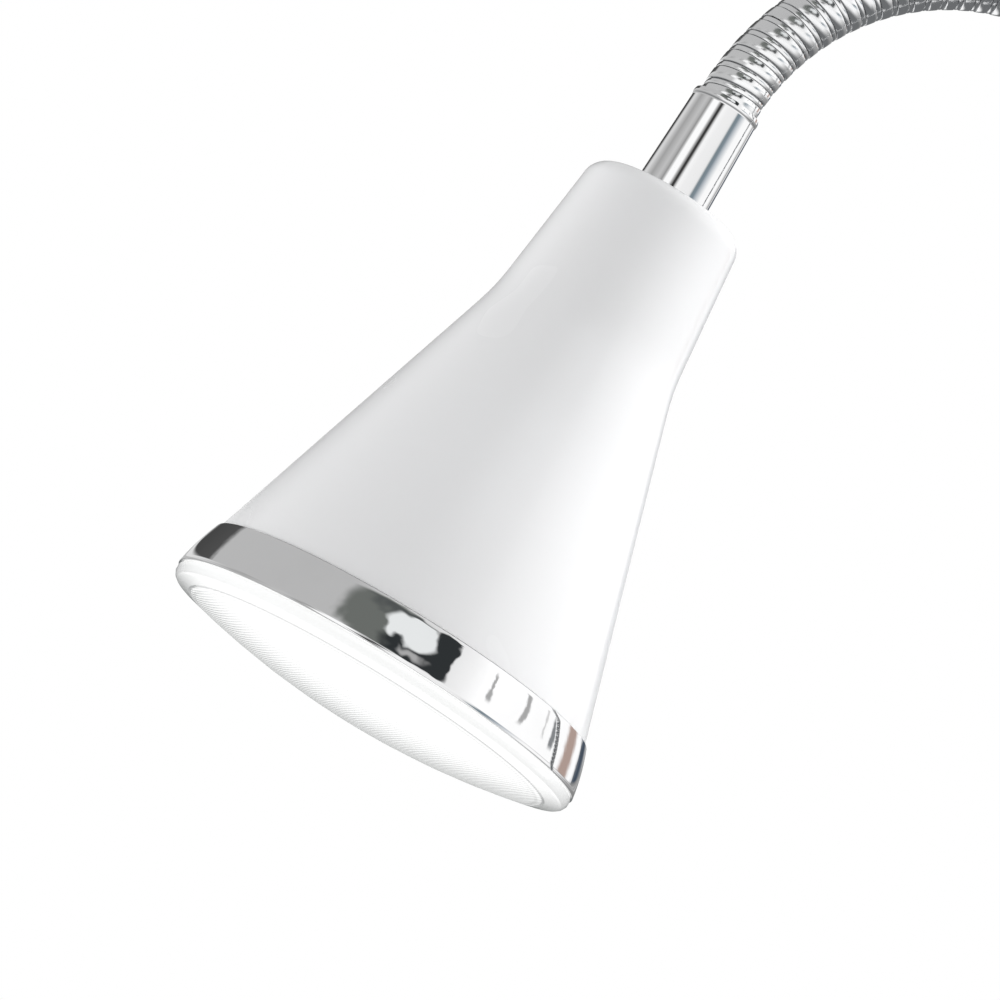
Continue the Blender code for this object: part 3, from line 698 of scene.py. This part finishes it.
LENS_WALL = 2.2 * MM
lens_outline = [(dome(r * MM, LENS_APEX - LENS_WALL), r * MM) for r in (0.3, 8, 16, 24, 31.2)]
LENS_RIM = [(86.2, 31.2), (86.2, 33.1), (89.7, 33.1), (89.7, 35.3)]
LENS_RIM += [(90.0, 35.6), (90.7, 35.6), (91.3, 35.3)]
lens_outline += [(s * MM, r * MM) for s, r in LENS_RIM]
for radius in (34.9, 34.4, 33.6, 32.6):
    lens_outline.append((dome(radius * MM), radius * MM))
step_floor = dome(STEP_RADIUS) - STEP_DEPTH
lens_outline += [(dome(32.3 * MM), 32.3 * MM), (step_floor, 32.2 * MM), (step_floor, 32.0 * MM)]
lens_outline.append((dome(31.8 * MM), 31.8 * MM))
for radius in (30.5, 27, 22, 17, 12, 7, 3, 0.3):
    lens_outline.append((dome(radius * MM), radius * MM))
lens = turn_piece(lens_outline, 160)
finish_piece(lens, "domed_lens", LIT_LENS, "head", ["lens"], HEAD, 30)

# %% [markdown]
# ## Sleeves
# Two turned and plated sleeves hold the arm's ends. Each narrows towards the arm and ends in a small
# bead, the bright point where the arm goes in.

# %% Sleeves
SLEEVE_WIDE = 6.18 * MM
SLEEVE_NARROW = 5.67 * MM
SLEEVE_BORE = 5.35 * MM
SLEEVE_CHAMFER = 0.1 * MM
BEAD = 1.5 * MM
BEAD_BULGE = 0.14 * MM


def sleeve(name, body, node, place):
    """Modelled with its wide end at the origin and its neck up +Z, like the solid it stands for."""
    neck = SLEEVE_LENGTH - BEAD
    outline = [(0, SLEEVE_BORE), (0, SLEEVE_WIDE - SLEEVE_CHAMFER), (-SLEEVE_CHAMFER, SLEEVE_WIDE)]
    outline.append((-neck, SLEEVE_NARROW))
    for angle in steps_between(0, math.pi, 8):
        bulge = SLEEVE_NARROW + BEAD_BULGE * math.sin(angle)
        outline.append((-neck - BEAD * (0.08 + 0.84 * angle / math.pi), bulge))
    outline.append((-SLEEVE_LENGTH, SLEEVE_BORE + SLEEVE_CHAMFER))
    outline.append((-SLEEVE_LENGTH, SLEEVE_BORE))
    piece = turn_piece(outline, 96)
    finish_piece(piece, name, MIRROR_CHROME, body, [node], place)


sleeve("chromed_head_sleeve", "head", "head_sleeve", HEAD @ Matrix.Translation((0, 0, GAP)))
sleeve("chromed_base_sleeve", "clip", "base_sleeve", Matrix.Translation((STEM.x, 0, BASE_FOOT)))

# %% [markdown]
# ## Wound arm
# A gooseneck is a flat strip wound round a steel spring: one turn is a broad flat crown and a narrow
# ridge between two grooves. Drawing one turn's section and sweeping it with the Screw modifier gives the
# whole straight arm. A Curve modifier then bends it along the stem and the arch. It is cut in the middle
# of each link, so that each length spans one joint of the chain inside it.

# %% Wound strip
PITCH = 3.08 * MM
TURN_STEPS = 40
TURN_SECTION = [(0.000, 4.72), (0.022, 4.97), (0.065, 5.03), (0.340, 5.05), (0.615, 5.03), (0.658, 4.97)]
TURN_SECTION += [(0.680, 4.72), (0.705, 4.72), (0.730, 4.90), (0.845, 4.97), (0.960, 4.90)]
TURN_SECTION += [(0.980, 4.72), (1.000, 4.72)]
CROWN_RADIUS = 4.92 * MM
GROOVE_RADIUS = 4.72 * MM
ARM_START = -11 * MM
ARM_END = ARM_LENGTH + 11 * MM
ARM_TRIM = 0.5 * MM
WELD_DISTANCE = 0.004 * MM


def wind_strip():
    """One turn's section, swept up the Z axis as a helix."""
    bpy.ops.object.select_all(action="DESELECT")
    foot = ARM_START - 2 * PITCH
    bpy.ops.mesh.primitive_plane_add(size=1, location=(0, 0, 0))
    strip = bpy.context.object
    all_edit()
    bpy.ops.mesh.merge(type="CENTER")
    share, radius = TURN_SECTION[0]
    bpy.ops.transform.translate(value=(radius * MM, 0, foot + share * PITCH))
    for (share, radius), (next_share, next_radius) in zip(TURN_SECTION, TURN_SECTION[1:]):
        step = ((next_radius - radius) * MM, 0, (next_share - share) * PITCH)
        bpy.ops.mesh.extrude_region_move(TRANSFORM_OT_translate={"value": step})
    bpy.ops.object.mode_set(mode="OBJECT")
    turns = math.ceil((ARM_END - foot) / PITCH) + 2
    apply_modifier(
        strip,
        "SCREW",
        axis="Z",
        angle=math.tau,
        screw_offset=PITCH,
        iterations=turns,
        steps=TURN_STEPS,
        render_steps=TURN_STEPS,
        use_merge_vertices=False,
    )
    all_edit()
    bpy.ops.mesh.remove_doubles(threshold=WELD_DISTANCE)
    bpy.ops.mesh.normals_make_consistent(inside=False)
    bpy.ops.object.mode_set(mode="OBJECT")
    # the groove depth, which the strip's chrome uses to paint shade into the grooves
    groove = strip.data.attributes.new("groove", "FLOAT", "POINT")
    for vertex, mark in zip(strip.data.vertices, groove.data):
        depth = (CROWN_RADIUS - vertex.co.xy.length) / (CROWN_RADIUS - GROOVE_RADIUS)
        mark.value = min(1.0, max(0.0, depth))
    return strip


def arm_point(distance):
    """A point of the arm's centre line."""
    if distance <= STEM_LENGTH:
        return Vector((STEM.x, 0, BASE_TOP + distance))
    turn = (distance - STEM_LENGTH) / ARCH_RADIUS
    return ARCH_CENTRE + ARCH_RADIUS * Vector((math.cos(turn), 0, math.sin(turn)))


def new_curve(name, kind, count):
    """A 3D curve of one spline with a number of points."""
    curve = bpy.data.curves.new(name, "CURVE")
    curve.dimensions = "3D"
    line = curve.splines.new(kind)
    points = line.bezier_points if kind == "BEZIER" else line.points
    points.add(count - 1)
    made = bpy.data.objects.new(name, curve)
    bpy.context.scene.collection.objects.link(made)
    return made, points


def arm_path():
    """The arm's centre line: one straight span, four equal arcs and a straight end."""
    foot = Vector((STEM.x, 0, BASE_TOP + ARM_START))
    stem_reach = (STEM_LENGTH - ARM_START) / 3
    tail = ARM_END - ARM_LENGTH
    knots = [(foot, Vector((0, 0, 1)), 0.0, stem_reach)]
    arcs = 4
    reach = 4 / 3 * math.tan(ARCH_ANGLE / arcs / 4) * ARCH_RADIUS
    for k in range(arcs + 1):
        turn = ARCH_ANGLE * k / arcs
        spot = arm_point(STEM_LENGTH + ARCH_RADIUS * turn)
        along = Vector((-math.sin(turn), 0, math.cos(turn)))
        before = stem_reach if k == 0 else reach
        after = tail / 3 if k == arcs else reach
        knots.append((spot, along, before, after))
    last_spot, last_along = knots[-1][:2]
    knots.append((last_spot + last_along * tail, last_along, tail / 3, 0.0))
    path, points = new_curve("arm_path", "BEZIER", len(knots))
    path.data.resolution_u = 40
    for point, (spot, along, before, after) in zip(points, knots):
        point.co = spot
        point.handle_left = spot - along * before
        point.handle_right = spot + along * after
    return path


def joint_distance(spot):
    """How far along the arm a joint lies."""
    if spot.z <= ARCH_CENTRE.z and spot.x > ARCH_CENTRE.x + ARCH_RADIUS / 2:
        return spot.z - BASE_TOP
    offset = spot - ARCH_CENTRE
    return STEM_LENGTH + ARCH_RADIUS * math.atan2(offset.z, offset.x)


def cut_length(master, path, start, end):
    """One length of the wound strip, cut square and closed at both ends, then bent along the path."""
    bpy.ops.object.select_all(action="DESELECT")
    master.select_set(True)
    bpy.context.view_layer.objects.active = master
    bpy.ops.object.duplicate(linked=False)
    length = bpy.context.object
    for height, keep_above in ((start, True), (end, False)):
        all_edit()
        bpy.ops.mesh.bisect(
            plane_co=(0, 0, height),
            plane_no=(0, 0, 1),
            use_fill=True,
            clear_inner=keep_above,
            clear_outer=not keep_above,
        )
        bpy.ops.object.mode_set(mode="OBJECT")
    all_edit()
    bpy.ops.transform.translate(value=(0, 0, -ARM_START))
    bpy.ops.object.mode_set(mode="OBJECT")
    apply_modifier(length, "CURVE", object=path, deform_axis="POS_Z")
    return length


CHAIN = ["clip"] + [f"link_{k:02d}" for k in range(1, 15)] + ["head"]
ARM_NODES = {body: f"neck_{body}" for body in CHAIN[1:-1]}
ARM_NODES["clip"] = "neck_base_stub"
ARM_NODES["head"] = "neck_head_stub"
neck_joints = [j for j in RECORD["behaviour"]["joints"] if j["child"] in CHAIN[1:]]
neck_joints.sort(key=lambda joint: CHAIN.index(joint["child"]))
distances = [joint_distance(Vector(joint["pos_m"])) for joint in neck_joints]
cuts = [0.0] + [(a + b) / 2 for a, b in zip(distances, distances[1:])] + [ARM_LENGTH]
print("joints along the arm:", [round(d / MM, 1) for d in distances])

master_strip = wind_strip()
path = arm_path()
ends = [
    ("arm_foot", "clip", ARM_START + ARM_TRIM, 0.0),
    ("arm_tip", "head", ARM_LENGTH, ARM_END - ARM_TRIM),
]
for name, body, start, end in ends:
    piece = cut_length(master_strip, path, start, end)
    finish_piece(piece, name, STRIP_CHROME, body, [], None, 28)
for number, (start, end) in enumerate(zip(cuts, cuts[1:]), 1):
    below, above = CHAIN[number - 1], CHAIN[number]
    piece = cut_length(master_strip, path, start, end)
    nodes = [ARM_NODES[above]] if number > 1 else [ARM_NODES[below], ARM_NODES[above]]
    finish_piece(piece, f"wound_arm_{number:02d}", STRIP_CHROME, None, nodes, None, 28)
    arm_point(start)
    arm_point(end)
    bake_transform(piece)
bpy.data.objects.remove(master_strip)
bpy.data.objects.remove(path)

# %% [markdown]
# ## Moulded white plastic
# The clip is injection moulded with a fine spark-eroded texture: a soft sheen and not a mirror. The
# texture is a very fine bump, and the roughness drifts where fingers have polished it.

# %% Plastics and rubber


def moulded_plastic(name, dark, light, roughness, grain_size, relief):
    """Injection-moulded plastic with an eroded texture."""
    plastic = Finish(name)
    worn = plastic.noise(35, 3.0, 0.55, plastic.spot)
    texture = plastic.noise(1 / grain_size, 2.0, 0.6, plastic.spot)
    return plastic.surface(
        {
            "Base Color": plastic.blend(worn, (*dark, 1), (*light, 1)),
            "Roughness": roughness + 0.12 * (worn - 0.5) + 0.08 * (texture - 0.5),
            "Specular IOR Level": 0.45,
            "Normal": plastic.bump(texture, relief, 0.35),
        }
    )


WHITE_PLASTIC = moulded_plastic(
    "white_plastic", (0.84, 0.845, 0.85), (0.875, 0.88, 0.88), 0.36, 0.5 * MM, 0.02 * MM
)
BLACK_PLASTIC = moulded_plastic(
    "black_plastic", (0.022, 0.022, 0.024), (0.035, 0.035, 0.037), 0.48, 0.4 * MM, 0.03 * MM
)
SOFT_RUBBER = moulded_plastic(
    "grey_rubber", (0.10, 0.10, 0.105), (0.16, 0.16, 0.165), 0.72, 0.3 * MM, 0.05 * MM
)
print("plastics ready")

# %% [markdown]
# ## Side-profile mouldings
# The housing, the lower jaw, the pads and the rocker keep one outline over their width. Each is drawn in
# side view, corner by corner with true arcs, filled, extruded over its width, and its rims are rounded
# by a Bevel modifier. Hollows are pushed in with a Boolean, as a mould core would make them.

# %% Side-profile helpers


def rounded(corners, arc_steps=8):
    """(x, z, radius) corners in mm to a smooth outline in metres."""
    points = []
    count = len(corners)
    for k, (x, z, radius) in enumerate(corners):
        here = Vector((x, z))
        if not radius:
            points.append(here * MM)
            continue
        back = (Vector(corners[k - 1][:2]) - here).normalized()
        ahead = (Vector(corners[(k + 1) % count][:2]) - here).normalized()
        half = back.angle(ahead) / 2
        centre = here + (back + ahead).normalized() * radius / math.sin(half)
        first = here + back * radius / math.tan(half) - centre
        last = here + ahead * radius / math.tan(half) - centre
        sweep = first.angle_signed(last)
        for step in range(arc_steps + 1):
            turned = first.copy()
            turned.rotate(Matrix.Rotation(-sweep * step / arc_steps, 2))
            points.append((centre + turned) * MM)
    return points


def draw_side(points, low_y, high_y):
    """A side outline, drawn point by point with the extrude tool, filled, and extruded over the width."""
    bpy.ops.object.select_all(action="DESELECT")
    bpy.ops.mesh.primitive_plane_add(size=1, location=(0, 0, 0))
    piece = bpy.context.object
    all_edit()
    bpy.ops.mesh.merge(type="CENTER")
    bpy.ops.transform.translate(value=(points[0].x, low_y, points[0].y))
    for here, there in zip(points, points[1:]):
        step = (there.x - here.x, 0, there.y - here.y)
        bpy.ops.mesh.extrude_region_move(TRANSFORM_OT_translate={"value": step})
    bpy.ops.mesh.select_all(action="SELECT")
    bpy.ops.mesh.edge_face_add()
    bpy.ops.mesh.extrude_region_move(TRANSFORM_OT_translate={"value": (0, high_y - low_y, 0)})
    bpy.ops.mesh.select_all(action="SELECT")
    bpy.ops.mesh.normals_make_consistent(inside=False)
    bpy.ops.object.mode_set(mode="OBJECT")
    return piece


def boolean(piece, tool, operation="DIFFERENCE"):
    apply_modifier(piece, "BOOLEAN", object=tool, operation=operation, solver="EXACT")
    bpy.data.objects.remove(tool)


def post(x, y, low, high, radius, steps=32):
    """An upright round tool or boss."""
    bpy.ops.object.select_all(action="DESELECT")
    place = (x * MM, y * MM, (low + high) / 2 * MM)
    depth = (high - low) * MM
    bpy.ops.mesh.primitive_cylinder_add(vertices=steps, radius=radius * MM, depth=depth, location=place)
    return bpy.context.object


def axle(x, z, half_length, radius, steps=48):
    """A round tool that lies across the clip."""
    piece = post(0, 0, -half_length, half_length, radius, steps)
    piece.rotation_euler = (math.pi / 2, 0, 0)
    piece.location = (x * MM, 0, z * MM)
    return piece


def box_tool(low, high):
    """A box between two corners in mm."""
    corners = ((low[0], low[2]), (low[0], high[2]), (high[0], high[2]), (high[0], low[2]))
    return draw_side([Vector(p) * MM for p in corners], low[1] * MM, high[1] * MM)


print("side-profile helpers ready")

# %% [markdown]
# ## Clip housing
# The upper half of the clip holds the driver, the switch and the arm's foot, and its rear slope is the
# upper squeeze lever. Ribs across the slope stop the thumb from slipping. A thin shadow line runs round
# the bottom edge, where the closing plate goes in.

# %% Clip housing
HALF = 19
INNER = 16.8
HOUSING_CORNERS = [(-24, 3, 0), (-24, 9, 4), (2, 30, 10), (46, 30, 12), (72, 17, 3.5), (72, 3, 0)]
HOLLOW_CORNERS = [(-21.8, 2, 0), (-21.8, 8, 3), (2.8, 27.8, 8)]
HOLLOW_CORNERS += [(45.4, 27.8, 10), (69.8, 15.6, 2), (69.8, 2, 0)]
SCREW_SPOTS = [(8, 12), (8, -12), (56, 12), (56, -12)]
SWITCH_MIDDLE = middle("rocker").x / MM
STEM_MIDDLE = STEM.x / MM
GLAND_HEIGHT = middle("cord_gland").z / MM


def rib(x, z, radius, half_width):
    """A thumb rib with rounded ends that lies across the clip, sunk into the surface."""
    piece = axle(x, z, half_width, radius, 24)
    round_rims(piece, radius * 0.8 * MM, 3)
    return piece


housing = draw_side(rounded(HOUSING_CORNERS), -HALF * MM, HALF * MM)
round_rims(housing, 2.4 * MM, 6)
boolean(housing, draw_side(rounded(HOLLOW_CORNERS), -INNER * MM, INNER * MM))
for x, y in SCREW_SPOTS:
    boolean(housing, post(x, y, 6.9, 28.8 if x < 30 else 22.8, 3.0), "UNION")
    boolean(housing, post(x, y, 5, 17, 1.35))
boolean(housing, post(STEM_MIDDLE, 0, 25, 32, 5.1, 64))
boolean(housing, box_tool((SWITCH_MIDDLE - 8, -5.5, 25), (SWITCH_MIDDLE + 8, 5.5, 32)))
RIB_COUNT = 5
RIB_STEP = 3.2
RIB_HALF_WIDTH = 13
for k in range(RIB_COUNT):
    x = 55 + RIB_STEP * k
    boolean(housing, rib(x, 30 - (x - 46) * 0.5 - 0.15, 0.75, RIB_HALF_WIDTH), "UNION")
finish_piece(housing, "moulded_housing", WHITE_PLASTIC, "clip", ["clip_housing"], None, 30)

# %% [markdown]
# ## Jaws
# The plate that closes the housing is the upper jaw, and it carries the hinge ears. The lower jaw is one
# moulding with its own lever, solid at the nose and ribbed behind, with its ears inside the upper ones.

# %% Jaws
PIN_X = 30
PIN_Z = -8
plate = box_tool((-21.5, -16.5, 2.6), (69.5, 16.5, 6.6))
round_rims(plate, 0.4 * MM, 2)
for low, high in ((-16, -12.5), (12.5, 16)):
    ear_outline = rounded([(24, 4, 0), (36, 4, 0), (36, -14, 5.9), (24, -14, 5.9)], 14)
    ear = draw_side(ear_outline, low * MM, high * MM)
    round_rims(ear, 0.4 * MM, 2)
    boolean(plate, ear, "UNION")
boolean(plate, axle(PIN_X, PIN_Z, 20, 2.3))
for x, y in SCREW_SPOTS:
    boolean(plate, post(x, y, 2, 4.6, 3.0))
    boolean(plate, post(x, y, 4, 7, 1.5))
finish_piece(plate, "moulded_plate", WHITE_PLASTIC, "clip", ["upper_jaw"], None, 30)

JAW_CORNERS = [(-24, -18.6, 0), (-24, -23.5, 3), (0, -29, 10), (40, -30, 15)]
JAW_CORNERS += [(72, -37, 4), (72, -24, 3), (40, -18.6, 8)]
jaw = draw_side(rounded(JAW_CORNERS), -HALF * MM, HALF * MM)
round_rims(jaw, 1.8 * MM, 5)
front_hollow = [(23.8, -17), (23.8, -26.6), (38, -27.2), (44, -28.4), (44, -17)]
boolean(jaw, draw_side([Vector(p) * MM for p in front_hollow], -INNER * MM, INNER * MM))
rear_hollow = [(46.2, -17), (46.2, -28.9), (69.6, -34), (69.6, -17)]
for low, high in ((-INNER, -1.1), (1.1, INNER)):
    boolean(jaw, draw_side([Vector(p) * MM for p in rear_hollow], low * MM, high * MM))
for low, high in ((-12.2, -8.5), (8.5, 12.2)):
    ear_outline = rounded([(24.3, -28, 0), (24.3, -2.1, 5.6), (35.7, -2.1, 5.6), (35.7, -28, 0)], 14)
    ear = draw_side(ear_outline, low * MM, high * MM)
    boolean(jaw, ear, "UNION")
boolean(jaw, axle(PIN_X, PIN_Z, 14, 2.3))
for k in range(RIB_COUNT):
    x = 50 + RIB_STEP * k
    boolean(jaw, rib(x, -30 - (x - 40) * 7 / 32 + 0.15, 0.7, RIB_HALF_WIDTH), "UNION")
finish_piece(jaw, "moulded_jaw", WHITE_PLASTIC, "jaw", ["lower_jaw"], None, 30)

# %% [markdown]
# ## Grip pads
# Two rubber pads with grooves across them, so that they hold a shelf edge without slipping.

# %% Grip pads
PAD_HALF_LENGTH = 20
GROOVE_PITCH = 3.2
GROOVE_WIDTH = 1.1
GROOVE_DEPTH = 0.8
GROOVE_SLOPE = 0.2


def pad_outline(grip, back):
    """The pad's side view: smooth on its back and grooved on its gripping face."""
    inward = 1 if back > grip else -1
    points = [(-PAD_HALF_LENGTH, back), (-PAD_HALF_LENGTH, grip)]
    bottom = grip + inward * GROOVE_DEPTH
    x = -PAD_HALF_LENGTH + GROOVE_PITCH - GROOVE_WIDTH / 2
    while x + GROOVE_WIDTH < PAD_HALF_LENGTH - 1:
        end = x + GROOVE_WIDTH
        points += [(x, grip), (x + GROOVE_SLOPE, bottom), (end - GROOVE_SLOPE, bottom), (end, grip)]
        x += GROOVE_PITCH
    points += [(PAD_HALF_LENGTH, grip), (PAD_HALF_LENGTH, back)]
    return [Vector(p) * MM for p in points]


for name, body, node, grip, back in (
    ("grooved_upper_pad", "clip", "upper_pad", 0.0, 2.3),
    ("grooved_lower_pad", "jaw", "lower_pad", -16.0, -18.3),
):
    pad = draw_side(pad_outline(grip, back), -16 * MM, 16 * MM)
    round_rims(pad, 0.15 * MM, 2)
    finish_piece(pad, name, SOFT_RUBBER, body, [node])

# %% [markdown]
# ## Hinge pin and spring
# A steel pin goes through all four ears, and a torsion spring sits on it. The spring's two legs push the
# levers apart. As the jaw opens, the coil winds up.

# %% Steel
steel = Finish("brushed_steel")
drawn = steel.add("ShaderNodeMapping", {}, {"Vector": steel.spot, "Scale": (1.0, 8.0, 1.0)})
scratches = steel.noise(900, 3.0, 0.6, drawn)
STEEL = steel.surface(
    {
        "Base Color": steel.blend(scratches, (0.50, 0.50, 0.51, 1), (0.66, 0.66, 0.67, 1)),
        "Metallic": 1.0,
        "Roughness": 0.24 + 0.14 * scratches,
        "Normal": steel.bump(scratches, 0.01 * MM, 0.3),
    }
)
print("steel ready")

# %% Hinge pin
PIN_PLACE = Matrix.Translation((PIN_X * MM, 0, PIN_Z * MM)) @ Matrix.Rotation(math.pi / 2, 4, "X")
pin_outline = [(-17.6, 0.2), (-17.6, 2.6), (-17.2, 3.2), (-16.7, 3.4), (-16.3, 3.4)]
pin_outline += [(-16.3, 2.0), (16.6, 2.0), (17.6, 2.0), (17.8, 1.7), (17.8, 0.2)]
pin = turn_piece([(s * MM, r * MM) for s, r in pin_outline], 48)
finish_piece(pin, "turned_pin", STEEL, "clip", ["pivot_pin"], PIN_PLACE, 30)

# %% Torsion spring
COIL_RADIUS = 4.6 * MM
COIL_HALF = 6.5 * MM
COIL_TURNS = 5
WIRE_RADIUS = 0.7 * MM
POINTS_PER_TURN = 24


def torsion_spring():
    hub = Vector((PIN_X, PIN_Z)) * MM
    upper_tip = Vector((43, 1.5)) * MM
    lower_tip = Vector((42, -26.4)) * MM
    first = math.atan2(*(upper_tip - hub).yx) + math.acos(COIL_RADIUS / (upper_tip - hub).length)
    last = math.atan2(*(lower_tip - hub).yx) - math.acos(COIL_RADIUS / (lower_tip - hub).length)
    last += math.tau * (COIL_TURNS + 1)
    count = POINTS_PER_TURN * (COIL_TURNS + 1)
    spots = [Vector((upper_tip.x, -COIL_HALF, upper_tip.y))]
    for k in range(count + 1):
        angle = first + (last - first) * k / count
        spot = hub + COIL_RADIUS * Vector((math.cos(angle), math.sin(angle)))
        spots.append(Vector((spot.x, COIL_HALF * (2 * k / count - 1), spot.y)))
    spots.append(Vector((lower_tip.x, COIL_HALF, lower_tip.y)))
    spring, points = new_curve("spring_wire", "POLY", len(spots))
    spring.data.bevel_depth = WIRE_RADIUS
    spring.data.bevel_resolution = 4
    spring.data.use_fill_caps = True
    for point, spot in zip(points, spots):
        point.co = (*spot, 1)
    bpy.ops.object.select_all(action="DESELECT")
    spring.select_set(True)
    bpy.context.view_layer.objects.active = spring
    bpy.ops.object.convert(target="MESH")
    return bpy.context.object


spring = torsion_spring()
finish_piece(spring, "wound_spring", STEEL, None, ["torsion_spring"])
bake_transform(spring)

# %% [markdown]
# ## Rocker switch
# A black frame snaps into the housing's top, and the white rocker sits in it. The rocker's face dips in
# the middle, and three raised bars on one end let a finger find it.

# %% Rocker switch
frame_block = box_tool((SWITCH_MIDDLE - 9, -6.5, 30.3), (SWITCH_MIDDLE + 9, 6.5, 31.5))
round_rims(frame_block, 0.5 * MM, 4)
boolean(frame_block, box_tool((SWITCH_MIDDLE - 7.7, -5.2, 17.5), (SWITCH_MIDDLE + 7.7, 5.2, 30.6)), "UNION")
boolean(frame_block, box_tool((SWITCH_MIDDLE - 6.2, -3.9, 23), (SWITCH_MIDDLE + 6.2, 3.9, 33)))
finish_piece(frame_block, "switch_frame", BLACK_PLASTIC, "clip", ["switch_body"], None, 30)

ROCKER_HALF = 5.5
ROCKER_HEIGHT = 29.5
ROCKER_REST = math.radians(-8)
key_points = [Vector((-ROCKER_HALF, 2.6))]
for share in steps_between(-0.85, 0.85, 12):
    key_points.append(Vector((ROCKER_HALF * share, 1.5 + 1.1 * abs(share) ** 1.6)))
key_points.append(Vector((ROCKER_HALF, 2.6)))
for angle in steps_between(0, math.pi, 20):
    key_points.append(Vector((math.cos(angle), -math.sin(angle))) * ROCKER_HALF)
rocker = draw_side([p * MM for p in key_points], -3.6 * MM, 3.6 * MM)
round_rims(rocker, 0.3 * MM, 3, 50)
for k in range(3):
    boolean(rocker, rib(-4.4 + 0.9 * k, 2.30 - 0.22 * k, 0.28, 2.2), "UNION")
rocker_place = Matrix.Translation((SWITCH_MIDDLE * MM, 0, ROCKER_HEIGHT * MM))
rocker_place = rocker_place @ Matrix.Rotation(ROCKER_REST, 4, "Y")
finish_piece(
    rocker, "rocker_key", WHITE_PLASTIC, "switch_rocker", ["rocker"], rocker_place, 30
)

# %% [markdown]
# ## Gland and screws
# The rear wall has a rubber bush for the mains lead. Four screws come up through the plate: a turned
# head with a cross recess, modelled once and copied.

# %% Gland
gland_outline = [(-1.8, 1.9), (-1.8, 3.5), (-0.3, 3.9), (-0.3, 2.7)]
gland_outline += [(2.5, 2.7), (2.5, 3.6), (4.2, 3.6), (4.2, 1.9)]
gland = turn_piece([(s * MM, r * MM) for s, r in gland_outline], 64, 0.2 * MM)
gland_place = Matrix.Translation((72 * MM, 0, GLAND_HEIGHT * MM)) @ Matrix.Rotation(math.pi / 2, 4, "Y")
finish_piece(gland, "rubber_bush", SOFT_RUBBER, "clip", ["cord_gland"], gland_place)

# %% Screws
screw_outline = [(-2.9, 0.1), (-2.9, 1.7), (-3.3, 2.6), (-4.3, 2.6)]
screw_outline += [(-4.3, 1.0), (-15.5, 1.0), (-16.2, 0.1)]
screw = turn_piece([(s * MM, r * MM) for s, r in screw_outline], 40)
for turn in (0, math.pi / 2):
    slot_tool = box_tool((-1.6, -0.3, 2.0), (1.6, 0.3, 3.7))
    slot_tool.matrix_world = Matrix.Rotation(turn, 4, "Z")
    boolean(screw, slot_tool)
for number, (x, y) in enumerate(SCREW_SPOTS, 1):
    copy = screw.copy()
    copy.data = screw.data.copy()
    bpy.context.scene.collection.objects.link(copy)
    place = Matrix.Translation((x * MM, y * MM, 0))
    nodes = [f"housing_screw_{number}"]
    finish_piece(copy, f"cross_screw_{number}", STEEL, "clip", nodes, place, 30)
bpy.data.objects.remove(screw)

# %% [markdown]
# ## Parts inside
# The solids that stay as they are, mostly inside the head and the housing, still get a finish each:
# cast aluminium, brass with a trace of tarnish, a green board with copper lines under its mask, wound
# copper, yellow phosphor and a white moulded reflector.

# %% Inner finishes


def plain_metal(name, dull, bright, roughness):
    """Cast or turned metal: tone and roughness drift together."""
    metal = Finish(name)
    mottle = metal.noise(150, 4.0, 0.6, metal.spot)
    return metal.surface(
        {
            "Base Color": metal.blend(mottle, (*dull, 1), (*bright, 1)),
            "Metallic": 1.0,
            "Roughness": roughness + 0.15 * (mottle - 0.5),
        }
    )


def waves(finish, direction, scale, distortion=0.0):
    """Bands along one direction."""
    settings = {"wave_type": "BANDS", "bands_direction": direction}
    values = {"Vector": finish.spot, "Scale": scale, "Distortion": distortion}
    return finish.add("ShaderNodeTexWave", settings, values)


board = Finish("circuit_board")
lines = waves(board, "DIAGONAL", 120, 1.5).band(0.62, 0.7)
CIRCUIT_BOARD = board.surface(
    {
        "Base Color": board.blend(lines, (0.02, 0.13, 0.06, 1), (0.05, 0.24, 0.10, 1)),
        "Roughness": 0.35 - 0.1 * lines,
        "Normal": board.bump(lines, 0.03 * MM, 0.5),
    }
)

copper = Finish("copper_winding")
turns = waves(copper, "Z", 380)
WOUND_COPPER = copper.surface(
    {
        "Base Color": copper.blend(turns, (0.30, 0.09, 0.03, 1), (0.72, 0.32, 0.14, 1)),
        "Metallic": 1.0,
        "Roughness": 0.3 + 0.1 * turns,
        "Normal": copper.bump(turns, 0.1 * MM, 0.6),
    }
)

PHOSPHOR = moulded_plastic("phosphor", (0.85, 0.62, 0.12), (0.95, 0.76, 0.22), 0.5, 0.3 * MM, 0.02 * MM)
REFLECTOR_WHITE = moulded_plastic(
    "reflector_white", (0.86, 0.86, 0.86), (0.90, 0.90, 0.90), 0.3, 0.5 * MM, 0.01 * MM
)
INNER_FINISHES = {
    "aluminium": plain_metal("cast_aluminium", (0.50, 0.51, 0.52), (0.68, 0.69, 0.70), 0.45),
    "brass": plain_metal("tarnished_brass", (0.50, 0.36, 0.16), (0.80, 0.62, 0.30), 0.32),
    "steel": STEEL,
    "chrome": MIRROR_CHROME,
    "copper_winding": WOUND_COPPER,
    "circuit_board": CIRCUIT_BOARD,
    "phosphor": PHOSPHOR,
    "reflector_white": REFLECTOR_WHITE,
    "black_plastic": BLACK_PLASTIC,
    "white_plastic": WHITE_PLASTIC,
    "white_lacquer": WHITE_LACQUER,
    "grey_rubber": SOFT_RUBBER,
    "lit_lens": LIT_LENS,
}
for part in RECORD["subparts"]:
    solid = frame["nodes"][part["node"]]
    solid.data.materials.clear()
    solid.data.materials.append(INNER_FINISHES[part["material_slot"]])
print("finishes on the solids:", len(RECORD["subparts"]))
